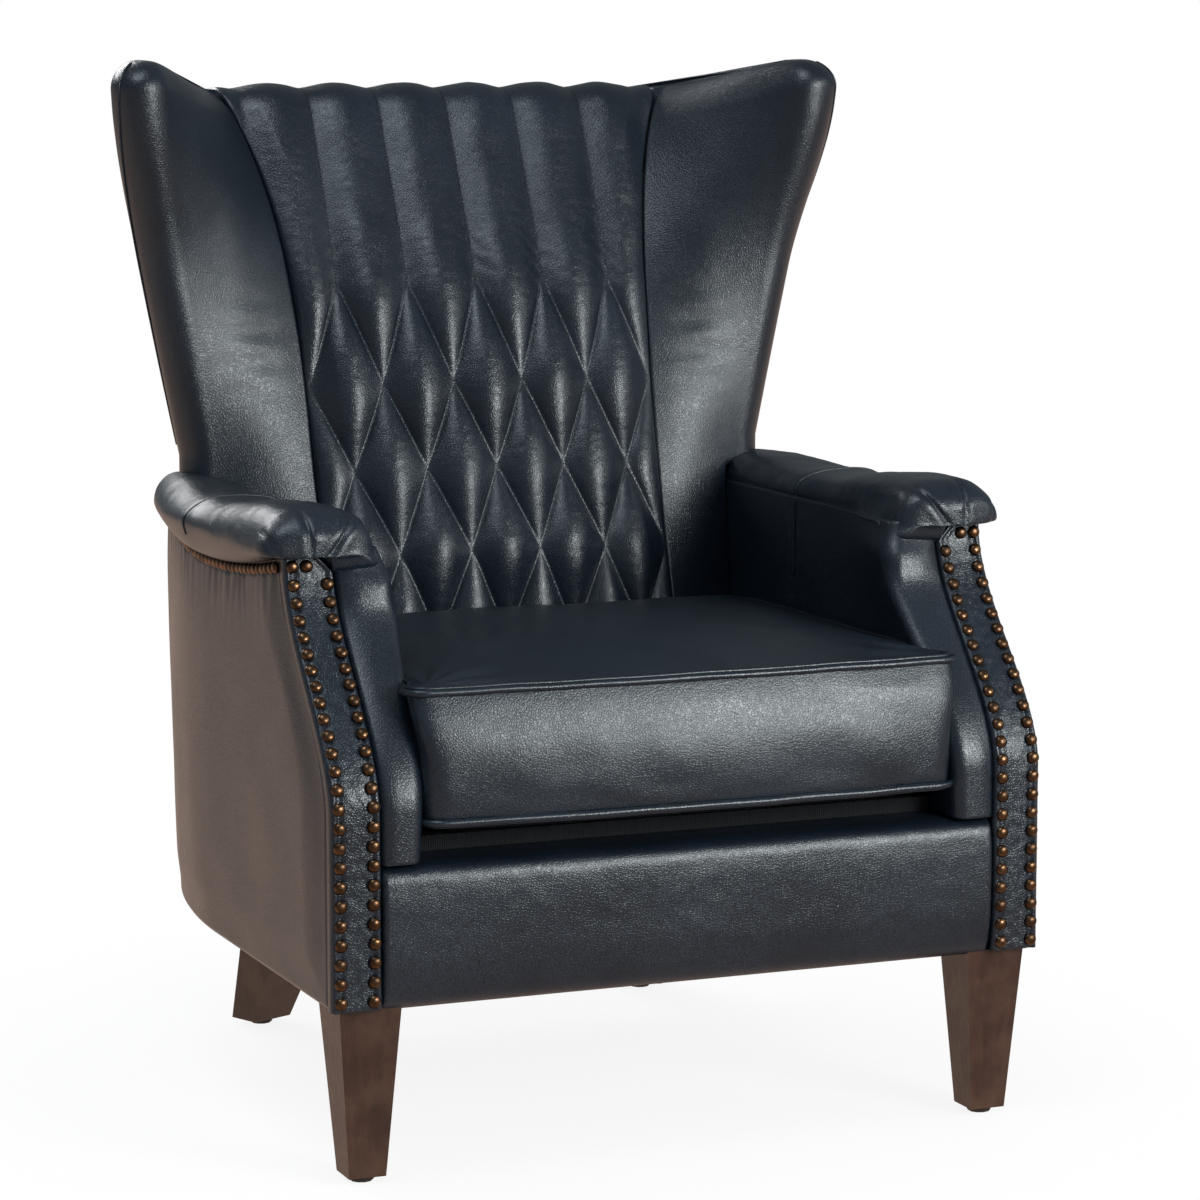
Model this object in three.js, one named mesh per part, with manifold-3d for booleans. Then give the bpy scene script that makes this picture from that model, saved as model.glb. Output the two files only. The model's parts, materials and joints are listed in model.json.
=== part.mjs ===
// Wing armchair: a timber frame on four tapered legs, padded and covered in leather, with a loose
// seat cushion, nailed arm fronts and a back sewn in channels above diamonds.
// Millimetres, +Z up, the front faces -Y, the origin is on the floor under the middle of the chair.
// "Left" and "right" are the viewer's, from in front of the chair: left is -X.
import * as THREE from "three";
import { mergeVertices } from "three/addons/utils/BufferGeometryUtils.js";
import Module from "manifold-3d";

const wasm = await Module();
wasm.setup();

// Overall sizes
const overallHeight = 1040;
const overallDepth = 790;
const bodyHalfWidth = 367; // outer faces of the arms, below the rolls
const bodyBottom = 171; // underside of the covered body
const clearance = 0.3; // between pieces that touch
const cutOverrun = 5; // how far a cutting solid runs past what it cuts

// Plan of the body
const cushionOverhang = 14; // the cushion's nose is ahead of the arm fronts
const backLean = 75; // the outer back's top is behind its bottom
const sideTaper = 70; // each side has come in by this much at the back
const taperRun = 385; // the sides run straight this far back before they curve in
const coverThickness = 8; // leather over board on the outer faces
const backTopNarrowing = 24; // the outer back is narrower at its top, each side

// Frame
const boardThickness = 25;
const railHeight = 112;
const dustCoverThickness = 1.5;
const stumpDepth = 36; // arm stump, front to back
const stumpWidth = 38.5;
const armBoardThickness = 25;
const armBoardWidth = 30; // behind the inner pad
const seatBackRailAhead = 230; // the rail that the springs end on, ahead of the back's bottom
const backFrameInset = 153; // inner faces of the two back frames, inside the arms' outer faces
const legBlockWidth = 52;
const legBlockHeight = 60;
const legBlockDepth = 66;
const wingBoardThickness = 18;
const wingBoardRoom = 2; // behind the wing's padding
const topRailHeight = 50;
const lowerRailHeight = 50;
const lowerRailLift = 14; // above the seat deck
const strapThickness = 2;
const strapHeight = 50;
const strapCount = 3;

// Seat suspension and deck
const springWire = 4;
const springCount = 4;
const springHalfWaves = 12;
const springWidth = 46;
const springBearing = 14; // wire that lies on each rail
const springEdgeRoom = 95; // from the outermost spring's middle to the arm
const deckThickness = 30;
const frontCoverDepth = 21; // padding in front of the front rail
const frontCoverTop = 20; // padding on top of the front rail
const frontCoverTuck = 38; // how far it runs back over the rail
const frontCoverPuff = 10; // its edges are drawn in by this

// Arms
const facingHeight = 408;
const facingWidth = 50;
const facingThickness = 14;
const facingSetback = 131; // the arm front is this far behind its foot at the top
const facingStraight = 182; // straight height below the curve
const facingChamfer = 14;
const facingBevel = 4;
const armPadThickness = 41.7;
const armPadFlare = 5; // the inner face stands further out at the back
const armPadNose = 14;
const armRearAhead = 23; // the inner pad ends ahead of the middle of the wing's nose
const rollHeight = 45; // near the roll's front
const rollDipHeight = 30; // where its seam draws it in
const rollRearHeight = 35;
const rollEndHeight = 24;
const rollPeakShare = 0.0695; // places along the roll
const rollDipShare = 0.4251;
const rollRearShare = 0.6733;
const rollOverhang = 22;
const rollBendGap = 60; // from the last bend to the roll's rear end
const rollNose = 16; // rounding of the roll's front
const rollInnerStep = 4; // the roll's inner side stands outside the pad's face
const rollFrontOverhang = 7; // the roll's nose is ahead of the facing's top
const rollRearGap = 1;
const rollLeastWidth = 54;

// Nails
const nailDiameter = 12.5;
const nailHeight = 4;
const nailStripWidth = 2.4;
const nailStripHeight = 0.9;
const nailLift = 0.7; // the strip lies this far off the leather
const nailEdge = 8.5; // nail centre to the facing's edge
const nailsOnCurve = 15;
const nailsOnStraight = 10;
const rowNailDiameter = 12;
const rowNailPitch = 12.6;
const rowNailSag = 18; // the row under the roll hangs lower in its middle
const rowNailLowAhead = 20; // the lowest nail is ahead of where the side curves in
const rowNailReach = 200; // from the lowest nail to where the row runs level
const rowNailDrop = 11; // row's highest nails below the top of the facing
const rowNailFrontGap = 9;
const rowNailRoom = 1.5; // between the row and the roll above it

// Back
const wingRise = 32; // wing tips above the back
const backTopThickness = 88;
const padFootAhead = 245.6; // foot of the back's face, ahead of the back's bottom
const backBulge = 15; // the face's side view bows forward by this above the arms
const bulgeAboveArm = 21; // that bow begins above the arm
const backBow = 24; // the middle of the face stands ahead of its sides
const bowBelowSeat = 21.7; // it starts to do so below the cushion's top edge
const bowRise = 90; // height over which it comes in
const backPadDepth = 60;
const quiltEdgeRoom = 0.5; // between the outermost crossing and the seam at the seat
const halfColumns = 5; // half pitches of the quilting from its middle to its side
const quiltPuff = 18;
const channelShare = 0.3734; // channels, of the back's height above the cushion's top edge
const diamondRowShares = [0.29, 0.2439, 0.2358, 0.2303]; // heights of the rows of diamonds
const lowestRowDrop = 26.7; // lowest crossings below the cushion's top edge
const quiltEdgeFade = 30;
const backTopRadius = 30;
const backTopRearDrop = 5;
const backPadHang = 22; // depth of the padding over the top rail
const seatSeamInset = 174; // side of the back's face at the seat, inside the arms' outer faces
const seamWidening = 7;
const seamFlare = 44; // extra at the very top
const seamLowShare = 0.0335; // heights where the width is measured, from the cushion's top edge up
const seamHighShare = 0.967;

// Wings
const wingAboveArm = 51; // height where the wing leaves the arm
const wingMidShare = 0.515; // of the way from there up to the high place
const wingHighDrop = 48; // the high place is below the back's top
const wingLowIn = 39; // outer edge of the nose, inside the arm's outer face
const wingMidIn = 1;
const wingHighOut = 36.3; // and outside it
const wingLowBehind = 90.6; // middle of the nose, behind the back's face at the cushion's top
const wingMidAhead = 25.7; // and ahead of that face
const wingHighAhead = 110.8;
const wingNose = 30; // radius of the wing's front edge
const wingPadThickness = 30;
const wingWrap = 12; // leather turned round the nose
const wingArmGap = 1;
const wingTopRound = 18;
const wingTipDraw = 22; // the tip is drawn in by this at its top
const wingPanelThickness = 6;
const wingPanelBow = 6;
const welt = 7; // diameter of piping

// Cushion
const cushionSideGap = 1.5;
const cushionBottomCrown = 22;
const cushionBorder = 120;
const cushionTopCrown = 17;
const cushionCorner = 34;
const cushionFrontCorner = 20;
const cushionLean = 25; // the front's top edge is behind its bottom edge
const cushionBow = 8; // the front edge bows out
const cushionBackGap = 3;

// Legs
const legTopWidth = 61;
const legFootWidth = 36.5;
const frontLegSideInset = 41; // leg's middle inside the arm's outer face
const frontLegInset = 11; // the leg's front face is behind the facing's face
const rearLegTopInset = 165; // middle of the leg's top, inside the arm's outer face
const rearLegTopAhead = 104; // and ahead of the back's bottom
const rearLegFootInset = 143;
const rearLegFootAhead = 34;
const rearLegTurn = 24; // degrees, so that the leg faces outwards
const rearLegTopWidth = 87;
const rearLegTopDepth = 66;
const rearLegFootWidth = 50;
const rearLegFootDepth = 38;
const glideHeight = 6;
const glideDiameter = 24;
const glideEdge = 1.5;
const glideShank = 5;
const glideShankLength = 16;
const boltDiameter = 8;
const boltInLeg = 48;
const boltInFrame = 40;

// Planes that many pieces share
const frontPlane = -overallDepth / 2;
const facingFront = frontPlane + cushionOverhang;
const backTopY = overallDepth / 2;
const backBottomY = backTopY - backLean;
const backTop = overallHeight - wingRise;
const armLine = bodyBottom + facingHeight;
const railBottom = bodyBottom + dustCoverThickness + clearance;
const railTop = railBottom + railHeight;
const deckTop = railTop + 2 * clearance + springWire + deckThickness;
const cushionBottom = deckTop + clearance;
const bottomWeltZ = cushionBottom + cushionBottomCrown;
const topWeltZ = bottomWeltZ + cushionBorder;
const legTop = bodyBottom - clearance;
const facingInner = bodyHalfWidth - facingWidth;
const armInner = facingInner - clearance - armPadThickness;
const rollBottom = armLine + clearance;
const padBottom = deckTop + clearance;
const taperStart = frontPlane + taperRun;
const rowNailLowY = taperStart - rowNailLowAhead;
const seatSeamHalf = bodyHalfWidth - seatSeamInset;
const frameOutset = coverThickness + clearance;
const rowHeight = (y) => {
  const away = Math.min(1, Math.abs(y - rowNailLowY) / rowNailReach);
  return armLine - rowNailDrop - rowNailSag * (1 - away * away);
};

const lerp = (a, b, t) => a + (b - a) * t;
const clamp = (t) => Math.min(1, Math.max(0, t));
const ease = (t) => t * t * (3 - 2 * t);
const range = (count) => Array.from({ length: count }, (_, i) => i);

// Piecewise straight line through [place, value] knots, run on past its ends
function through(knots, place) {
  const found = knots.findIndex(([at]) => at >= place);
  const k = found < 0 ? knots.length - 1 : Math.max(1, found);
  const [p0, v0] = knots[k - 1];
  const [p1, v1] = knots[k];
  return lerp(v0, v1, (place - p0) / (p1 - p0));
}

// Outer face of a side, in plan: flat facets between these knots
const sideBends = 6;
const sideKnots = [[frontPlane, bodyHalfWidth]];
for (const i of range(sideBends + 1)) {
  const y = lerp(taperStart, backBottomY - 2 * coverThickness, i / sideBends);
  const along = (y - taperStart) / (backBottomY - taperStart);
  sideKnots.push([y, bodyHalfWidth - sideTaper * along * along]);
}
const lastBend = sideKnots.at(-1)[0];
const sideX = (y) => through(sideKnots, y);
function sideStations(from, to) {
  const between = sideKnots.map(([y]) => y).filter((y) => y > from && y < to);
  return [from, ...between, to];
}

// Outer face of the back, and its half width
const rearTop = backTop - backTopRearDrop;
const backShare = (z) => (z - bodyBottom) / (rearTop - bodyBottom);
const backY = (z) => lerp(backBottomY, backTopY, backShare(z));
const backHalf = (z) => bodyHalfWidth - sideTaper - backTopNarrowing * backShare(z);

// Face of the back pad at its seams, and the pad's rear face
const padTopY = backTopY - backTopThickness;
const backSlope = (padTopY - (backBottomY - padFootAhead)) / (backTop - padBottom);
const padPlane = (z) => padTopY - backSlope * (backTop - z);
const padRear = (z) => padPlane(z) + backPadDepth;
const bulgeStart = armLine + bulgeAboveArm;
const bulgeAt = (z) => backBulge * Math.sin(Math.PI * clamp((z - bulgeStart) / (backTop - bulgeStart)));
const padFace = (z) => padPlane(z) - bulgeAt(z);
const bowAt = (z) => {
  const fade = 1 - ease(clamp((z - bulgeStart) / (backTop - bulgeStart)));
  return backBow * ease(clamp((z - topWeltZ + bowBelowSeat) / bowRise)) * fade;
};

// The arm front as facets, one under each nail of the curve: [y, z] from the bottom up
function facingFacets() {
  const curveHeight = facingHeight - facingStraight;
  const at = (t) => [facingFront + facingSetback * ease(t), lerp(armLine - curveHeight, armLine, t)];
  const steps = 200;
  const lengths = [0];
  for (const i of range(steps)) {
    const [y0, z0] = at(i / steps);
    const [y1, z1] = at((i + 1) / steps);
    lengths.push(lengths[i] + Math.hypot(y1 - y0, z1 - z0));
  }
  const facets = [[facingFront, bodyBottom]];
  for (const k of range(nailsOnCurve + 1)) {
    const wanted = (lengths[steps] * k) / nailsOnCurve;
    const i = Math.min(steps - 1, lengths.findLastIndex((length) => length <= wanted));
    const part = (wanted - lengths[i]) / (lengths[i + 1] - lengths[i]);
    facets.push(at((i + part) / steps));
  }
  return facets;
}
const frontFacets = facingFacets();

const frontKnots = frontFacets.map(([y, z]) => [z, y]);
const frontY = (z) => through(frontKnots, z);

// Levels of the quilted back, from the bottom of the pad up to where its top begins to round
const roundStart = backTop - backTopRadius;
const rowLevels = [backTop - channelShare * (backTop - topWeltZ)];
const diamondsHeight = rowLevels[0] - topWeltZ + lowestRowDrop;
for (const share of diamondRowShares) rowLevels.push(rowLevels.at(-1) - share * diamondsHeight);
const cellSteps = 3;
const channelSteps = 4;
function padLevels() {
  const lowest = rowLevels.at(-1);
  const levels = [padBottom, lerp(padBottom, lowest, 1 / 2)];
  for (let row = rowLevels.length - 1; row > 0; row--)
    for (const step of range(cellSteps))
      levels.push(lerp(rowLevels[row], rowLevels[row - 1], step / cellSteps));
  for (const step of range(channelSteps + 1))
    levels.push(lerp(rowLevels[0], roundStart, step / channelSteps));
  return levels;
}

// Seam between the back pad and a wing: half width at a height, straight between its levels
const seamLow = lerp(topWeltZ, backTop, seamLowShare);
const seamHigh = lerp(topWeltZ, backTop, seamHighShare);
function seamCurve(z) {
  const up = (z - seamLow) / (seamHigh - seamLow);
  return seatSeamHalf + seamWidening * up + seamFlare * Math.max(0, up) ** 5;
}
const wingLowZ = armLine + wingAboveArm;
const wingHighZ = backTop - wingHighDrop;
const wingMidZ = lerp(wingLowZ, wingHighZ, wingMidShare);
const wingLevels = [padBottom, topWeltZ, wingLowZ];
const wingLevelShares = [1 / 3, 2 / 3, 1];
for (const share of wingLevelShares) wingLevels.push(lerp(wingLowZ, rowLevels[0], share));
for (const step of range(channelSteps)) {
  wingLevels.push(lerp(rowLevels[0], roundStart, (step + 1) / channelSteps));
}
const seamKnots = [...wingLevels, backTop].map((z) => [z, seamCurve(z)]);
const seamX = (z) => through(seamKnots, z);

// Geometry helpers

// Triangles over one ring, wound along the ring or against it
function cap(ring, first, alongRing) {
  const normal = new THREE.Vector3();
  ring.forEach(([x0, y0, z0], i) => {
    const [x1, y1, z1] = ring[(i + 1) % ring.length];
    normal.x += (y0 - y1) * (z0 + z1);
    normal.y += (z0 - z1) * (x0 + x1);
    normal.z += (x0 - x1) * (y0 + y1);
  });
  const sizes = normal.toArray().map(Math.abs);
  const dropped = sizes.indexOf(Math.max(...sizes));
  const flat = ring.map((p) => new THREE.Vector2(...p.filter((_, axis) => axis !== dropped)));
  const faces = THREE.ShapeUtils.triangulateShape(flat, []);
  const count = ring.length;
  const runsAlong = faces.some((f) => f.some((v, i) => f[(i + 1) % 3] === (v + 1) % count));
  return faces.map(([a, b, c]) => (runsAlong === alongRing ? [a, b, c] : [a, c, b]).map((v) => v + first));
}

// A geometry from points and triangles, turned to face outwards
function closed(points, faces) {
  const volume = faces.reduce((sum, [a, b, c]) => {
    const [p, q, r] = [a, b, c].map((v) => new THREE.Vector3(...points[v]));
    return sum + p.dot(q.cross(r));
  }, 0);
  const outward = volume < 0 ? faces.map(([a, b, c]) => [a, c, b]) : faces;
  const geometry = new THREE.BufferGeometry();
  geometry.setAttribute("position", new THREE.Float32BufferAttribute(points.flat(), 3));
  geometry.setIndex(outward.flat());
  return geometry;
}

// A solid through rings of equally many points, closed by flat ends or joined into a loop
function skin(rings, { loop = false, turned = () => false } = {}) {
  const count = rings[0].length;
  const faces = [];
  for (const r of range(loop ? rings.length : rings.length - 1))
    for (const i of range(count)) {
      const next = ((r + 1) % rings.length) * count;
      const [a, b] = [r * count + i, r * count + ((i + 1) % count)];
      const [c, d] = [next + ((i + 1) % count), next + i];
      if (turned(r, i)) faces.push([a, b, d], [b, c, d]);
      else faces.push([a, b, c], [a, c, d]);
    }
  if (!loop) faces.push(...cap(rings[0], 0, false), ...cap(rings.at(-1), (rings.length - 1) * count, true));
  return closed(rings.flat(), faces);
}

function box([x0, x1], [y0, y1], [z0, z1]) {
  const geometry = new THREE.BoxGeometry(x1 - x0, y1 - y0, z1 - z0);
  return geometry.translate((x0 + x1) / 2, (y0 + y1) / 2, (z0 + z1) / 2);
}

// An upright rod along +Z from z0 to z1
function rod(x, y, radius, z0, z1, sides = 8) {
  const geometry = new THREE.CylinderGeometry(radius, radius, z1 - z0, sides);
  return geometry.rotateX(Math.PI / 2).translate(x, y, (z0 + z1) / 2);
}

function solidOf(geometry) {
  const bare = geometry.clone();
  bare.deleteAttribute("normal");
  bare.deleteAttribute("uv");
  const merged = mergeVertices(bare);
  const vertProperties = merged.attributes.position.array;
  const triVerts = new Uint32Array(merged.index.array);
  return new wasm.Manifold(new wasm.Mesh({ numProp: 3, vertProperties, triVerts }));
}

function geometryOf(solid) {
  const mesh = solid.getMesh();
  const geometry = new THREE.BufferGeometry();
  geometry.setAttribute("position", new THREE.BufferAttribute(mesh.vertProperties, 3));
  return geometry.setIndex(new THREE.BufferAttribute(mesh.triVerts, 1));
}

// What the cuts leave of a solid: its largest piece
function cut(geometry, ...tools) {
  const left = tools.reduce((solid, tool) => solid.subtract(solidOf(tool)), solidOf(geometry));
  return geometryOf(left.decompose().reduce((a, b) => (a.volume() > b.volume() ? a : b)));
}

// The same solid on the other side of the chair
function mirrored(geometry) {
  const copy = geometry.clone();
  const positions = copy.attributes.position;
  for (const i of range(positions.count)) positions.setX(i, -positions.getX(i));
  const index = copy.index.array;
  for (const i of range(index.length / 3)) {
    const [b, c] = [index[3 * i + 1], index[3 * i + 2]];
    index[3 * i + 1] = c;
    index[3 * i + 2] = b;
  }
  return copy;
}

// Materials
const material = (color, roughness, metalness = 0) =>
  new THREE.MeshStandardMaterial({ color, roughness, metalness });
const leather = material(0x1a202b, 0.38);
const piping = material(0x151a24, 0.42);
const legWood = material(0x3a2018, 0.35);
const frameWood = material(0xc19a6b, 0.8);
const steel = material(0x8b8d90, 0.4, 1);
const nailMetal = material(0x7a5230, 0.4, 1);
const glidePlastic = material(0x1c1c1e, 0.6);
const cloth = material(0x1d1d1f, 0.95);
const webbing = material(0xb9a98a, 0.9);
const deckCloth = material(0x2a2d33, 0.95);

const chair = new THREE.Group();

function add(name, geometry, finish) {
  const mesh = new THREE.Mesh(geometry, finish);
  mesh.name = name;
  chair.add(mesh);
}

function addPair(name, geometry, finish) {
  add("right_" + name, geometry, finish);
  add("left_" + name, mirrored(geometry), finish);
}

// Legs with their glides and bolts

function glide(x, y) {
  const foot = glideDiameter / 2;
  const profile = [
    [0, 0],
    [foot - glideEdge, 0],
    [foot, glideEdge],
    [foot, glideHeight],
    [glideShank / 2, glideHeight],
    [glideShank / 2, glideHeight + glideShankLength],
    [0, glideHeight + glideShankLength],
  ].map(([radius, z]) => new THREE.Vector2(radius, z));
  return new THREE.LatheGeometry(profile, 10).rotateX(Math.PI / 2).translate(x, y, 0);
}

// A leg's section at a height: a rectangle, turned about its own middle
function legSection({ x, y, width, depth }, turn, z) {
  const corners = [
    [-width, -depth],
    [width, -depth],
    [width, depth],
    [-width, depth],
  ];
  return corners.map(([across, along]) => {
    const corner = new THREE.Vector2(across / 2, along / 2).rotateAround(new THREE.Vector2(), turn);
    return [x + corner.x, y + corner.y, z];
  });
}

function leg({ top, foot, turn }) {
  const footZ = glideHeight + clearance;
  const body = skin([legSection(foot, turn, footZ), legSection(top, turn, legTop)]);
  const boltHoleRadius = boltDiameter / 2 + clearance;
  const boltHoleBottom = legTop - boltInLeg - clearance;
  const boltHole = rod(top.x, top.y, boltHoleRadius, boltHoleBottom, legTop + cutOverrun);
  const pinTop = footZ + glideShankLength;
  const pinHole = rod(foot.x, foot.y, glideShank / 2 + 2 * clearance, footZ - cutOverrun, pinTop, 10);
  return cut(body, boltHole, pinHole);
}

const legBolt = (x, y) => rod(x, y, boltDiameter / 2, legTop - boltInLeg, railBottom + boltInFrame);
const frameHole = (x, y) =>
  rod(x, y, boltDiameter / 2 + clearance, railBottom - cutOverrun, railBottom + boltInFrame + clearance);

const frontLegX = bodyHalfWidth - frontLegSideInset;
const frontLegY = facingFront + frontLegInset + legTopWidth / 2;
const rearLegTopX = bodyHalfWidth - rearLegTopInset;
const rearLegTopY = backBottomY - rearLegTopAhead;
const rearLegFootX = bodyHalfWidth - rearLegFootInset;
const rearLegFootY = backBottomY - rearLegFootAhead;
const legPlaces = {
  front: {
    top: { x: frontLegX, y: frontLegY, width: legTopWidth, depth: legTopWidth },
    foot: { x: frontLegX, y: frontLegY, width: legFootWidth, depth: legFootWidth },
    turn: 0,
  },
  rear: {
    top: { x: rearLegTopX, y: rearLegTopY, width: rearLegTopWidth, depth: rearLegTopDepth },
    foot: { x: rearLegFootX, y: rearLegFootY, width: rearLegFootWidth, depth: rearLegFootDepth },
    turn: -THREE.MathUtils.degToRad(rearLegTurn),
  },
};
for (const [place, shape] of Object.entries(legPlaces)) {
  addPair(place + "_leg", leg(shape), legWood);
  addPair(place + "_leg_bolt", legBolt(shape.top.x, shape.top.y), steel);
  addPair(place + "_glide", glide(shape.foot.x, shape.foot.y), glidePlastic);
}

// Frame

// A ring at one height between two values of x and two of y
const plan = (x0, x1, y0, y1, z) => [
  [x0, y0, z],
  [x1, y0, z],
  [x1, y1, z],
  [x0, y1, z],
];

const stumpOuter = bodyHalfWidth - frameOutset;
const stumpInner = stumpOuter - stumpWidth;
const stumpTop = armLine - armBoardThickness - clearance;
function armStump() {
  const bends = frontFacets.slice(1).map(([, z]) => z).filter((z) => z < stumpTop);
  const levels = [railBottom, ...bends, stumpTop];
  const rings = levels.map((z) => {
    const front = frontY(z) + facingThickness + clearance;
    return plan(stumpInner, stumpOuter, front, front + stumpDepth, z);
  });
  return cut(skin(rings), frameHole(frontLegX, frontLegY));
}
addPair("arm_stump", armStump(), frameWood);

// A board on edge that follows the side of the body, between two heights
function sideBoard(from, to, outset, inset, z0, z1) {
  const stations = sideStations(from, to);
  const outer = stations.map((y) => [sideX(y) - outset, y]);
  const inner = stations.map((y) => [sideX(y) - outset - inset(y), y]).reverse();
  const ring = (z) => [...outer, ...inner].map(([x, y]) => [x, y, z]);
  return skin([ring(z0), ring(z1)]);
}

const stumpRear = facingFront + facingThickness + clearance + stumpDepth;
const frameRear = backBottomY - frameOutset;
addPair(
  "side_rail",
  sideBoard(stumpRear + clearance, frameRear, frameOutset, () => boardThickness, railBottom, railTop),
  frameWood,
);

const railFront = facingFront + frontCoverDepth + clearance;
const railRear = railFront + boardThickness;
add(
  "front_rail",
  box([clearance - stumpInner, stumpInner - clearance], [railFront, railRear], [railBottom, railTop]),
  frameWood,
);

const lowRailShare = 0.8; // these rails are lower than the side rails
const seatBackRailY = backBottomY - seatBackRailAhead;
const seatBackRailRear = seatBackRailY + boardThickness;
const seatBackRailBottom = railTop - railHeight * lowRailShare;
const seatBackRailHalf = sideX(seatBackRailRear) - frameOutset - boardThickness - clearance;
add(
  "seat_back_rail",
  box(
    [-seatBackRailHalf, seatBackRailHalf],
    [seatBackRailY, seatBackRailRear],
    [seatBackRailBottom, railTop],
  ),
  frameWood,
);

// Each back frame is a sawn panel: its front edge carries the pad, its rear edge the outer back
const backFrameTop = backTop - backPadHang - clearance;
const strapRoom = strapThickness + 2 * clearance;
const backFrameFront = (z) => Math.max(padRear(z) + strapRoom, seatBackRailRear + clearance);
const backFrameRear = (z) => backY(z) - frameOutset;
const backFrameX = bodyHalfWidth - backFrameInset;
function backFrame() {
  const topFrontY = backTopY - backTopThickness + backPadDepth + strapRoom;
  const kneeZ = backTop - (topFrontY - seatBackRailRear - clearance) / backSlope;
  const levels = [railBottom, Math.max(kneeZ, railBottom + clearance), padBottom, backFrameTop];
  const rings = levels.map((z) =>
    plan(backFrameX, backFrameX + boardThickness, backFrameFront(z), backFrameRear(z), z),
  );
  return skin(rings);
}
addPair("back_frame", backFrame(), frameWood);

const betweenFrames = backFrameX - clearance;
add(
  "rear_rail",
  box(
    [-betweenFrames, betweenFrames],
    [frameRear - boardThickness, frameRear],
    [railBottom, railBottom + railHeight * lowRailShare],
  ),
  frameWood,
);

// A crosspiece between the back frames, leaning with them
function leaningRail(half, z0, z1, thickness) {
  const ring = (x) => [
    [x, backFrameFront(z0), z0],
    [x, backFrameFront(z0) + thickness, z0],
    [x, backFrameFront(z1) + thickness, z1],
    [x, backFrameFront(z1), z1],
  ];
  return skin([ring(-half), ring(half)]);
}
const lowerRailBottom = padBottom + lowerRailLift;
add(
  "lower_back_rail",
  leaningRail(betweenFrames, lowerRailBottom, lowerRailBottom + lowerRailHeight, boardThickness),
  frameWood,
);
const frameTopDepth = backFrameRear(backFrameTop) - backFrameFront(backFrameTop);
const topRailThickness = Math.min(boardThickness, frameTopDepth);
add(
  "top_back_rail",
  leaningRail(betweenFrames, backFrameTop - topRailHeight, backFrameTop, topRailThickness),
  frameWood,
);

// Straps across the back frames, behind the pad
const frameOuterFace = backFrameX + boardThickness;
const strapFieldBottom = lowerRailBottom + lowerRailHeight;
const strapFieldTop = backFrameTop - topRailHeight;
for (const i of range(strapCount)) {
  const spare = (strapFieldTop - strapFieldBottom - strapCount * strapHeight) / (strapCount + 1);
  const z0 = strapFieldBottom + spare + i * (strapHeight + spare);
  const ring = (x) =>
    [
      [z0, clearance],
      [z0, clearance + strapThickness],
      [z0 + strapHeight, clearance + strapThickness],
      [z0 + strapHeight, clearance],
    ].map(([z, off]) => [x, padRear(z) + off, z]);
  add("back_strap_" + (i + 1), skin([ring(-frameOuterFace), ring(frameOuterFace)]), webbing);
}

const legBlockFront = rearLegTopY - legBlockDepth / 2;
addPair(
  "rear_leg_block",
  cut(
    box(
      [betweenFrames - legBlockWidth, betweenFrames],
      [legBlockFront, legBlockFront + legBlockDepth],
      [railBottom, railBottom + legBlockHeight],
    ),
    frameHole(rearLegTopX, rearLegTopY),
  ),
  frameWood,
);

// The board on top of the arm widens at the back to meet the back frame
const armBoardFront = frontY(armLine) + facingThickness + clearance;
const armBoardRear = backFrameRear(armLine - armBoardThickness);
const armBoardKnots = sideKnots.map(([y, x]) => [
  y,
  Math.min(facingInner, x - frameOutset - armBoardWidth),
]);
const armBoardInner = (y) => through(armBoardKnots, y);
function armBoardInset(y) {
  const inner = y < lastBend ? armBoardInner(y) : frameOuterFace + clearance;
  return sideX(y) - frameOutset - inner;
}
addPair(
  "arm_board",
  sideBoard(armBoardFront, armBoardRear, frameOutset, armBoardInset, armLine - armBoardThickness, armLine),
  frameWood,
);

// Seat springs: zigzag wire laid on the front rail and on the seat back rail
function spring(centre) {
  const from = railRear - springBearing;
  const to = seatBackRailY + springBearing;
  const z = railTop + clearance + springWire / 2;
  const half = springWidth / 2 - springWire / 2;
  const runShares = [0.2, 0.8]; // each straight run ends at these shares of its half wave
  const line = [[centre, from]];
  for (const i of range(springHalfWaves)) {
    const side = i % 2 ? half : -half;
    const [y0, y1] = runShares.map((share) => lerp(from, to, (i + share) / springHalfWaves));
    line.push([centre + side, y0], [centre + side, y1]);
  }
  line.push([centre, to]);
  const rings = line.map(([x, y], i) => {
    const [ax, ay] = line[Math.max(0, i - 1)];
    const [bx, by] = line[Math.min(line.length - 1, i + 1)];
    const length = Math.hypot(bx - ax, by - ay);
    const [sx, sy] = [((by - ay) / length) * (springWire / 2), ((ax - bx) / length) * (springWire / 2)];
    return [
      [x - sx, y - sy, z],
      [x, y, z - springWire / 2],
      [x + sx, y + sy, z],
      [x, y, z + springWire / 2],
    ];
  });
  return skin(rings);
}
const springFieldHalf = armInner - springEdgeRoom;
for (const i of range(springCount)) {
  const centre = lerp(-springFieldHalf, springFieldHalf, i / (springCount - 1));
  add("seat_spring_" + (i + 1), spring(centre), steel);
}

const deckBottom = deckTop - deckThickness;
const frontCoverRear = railFront + frontCoverTuck;
const deckHalf = armInner - clearance;
const deckFront = frontCoverRear + clearance;
const deckRear = backFrameFront(deckBottom) - clearance;
add(
  "seat_deck",
  box([-deckHalf, deckHalf], [deckFront, deckRear], [deckBottom, deckTop]),
  deckCloth,
);

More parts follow.
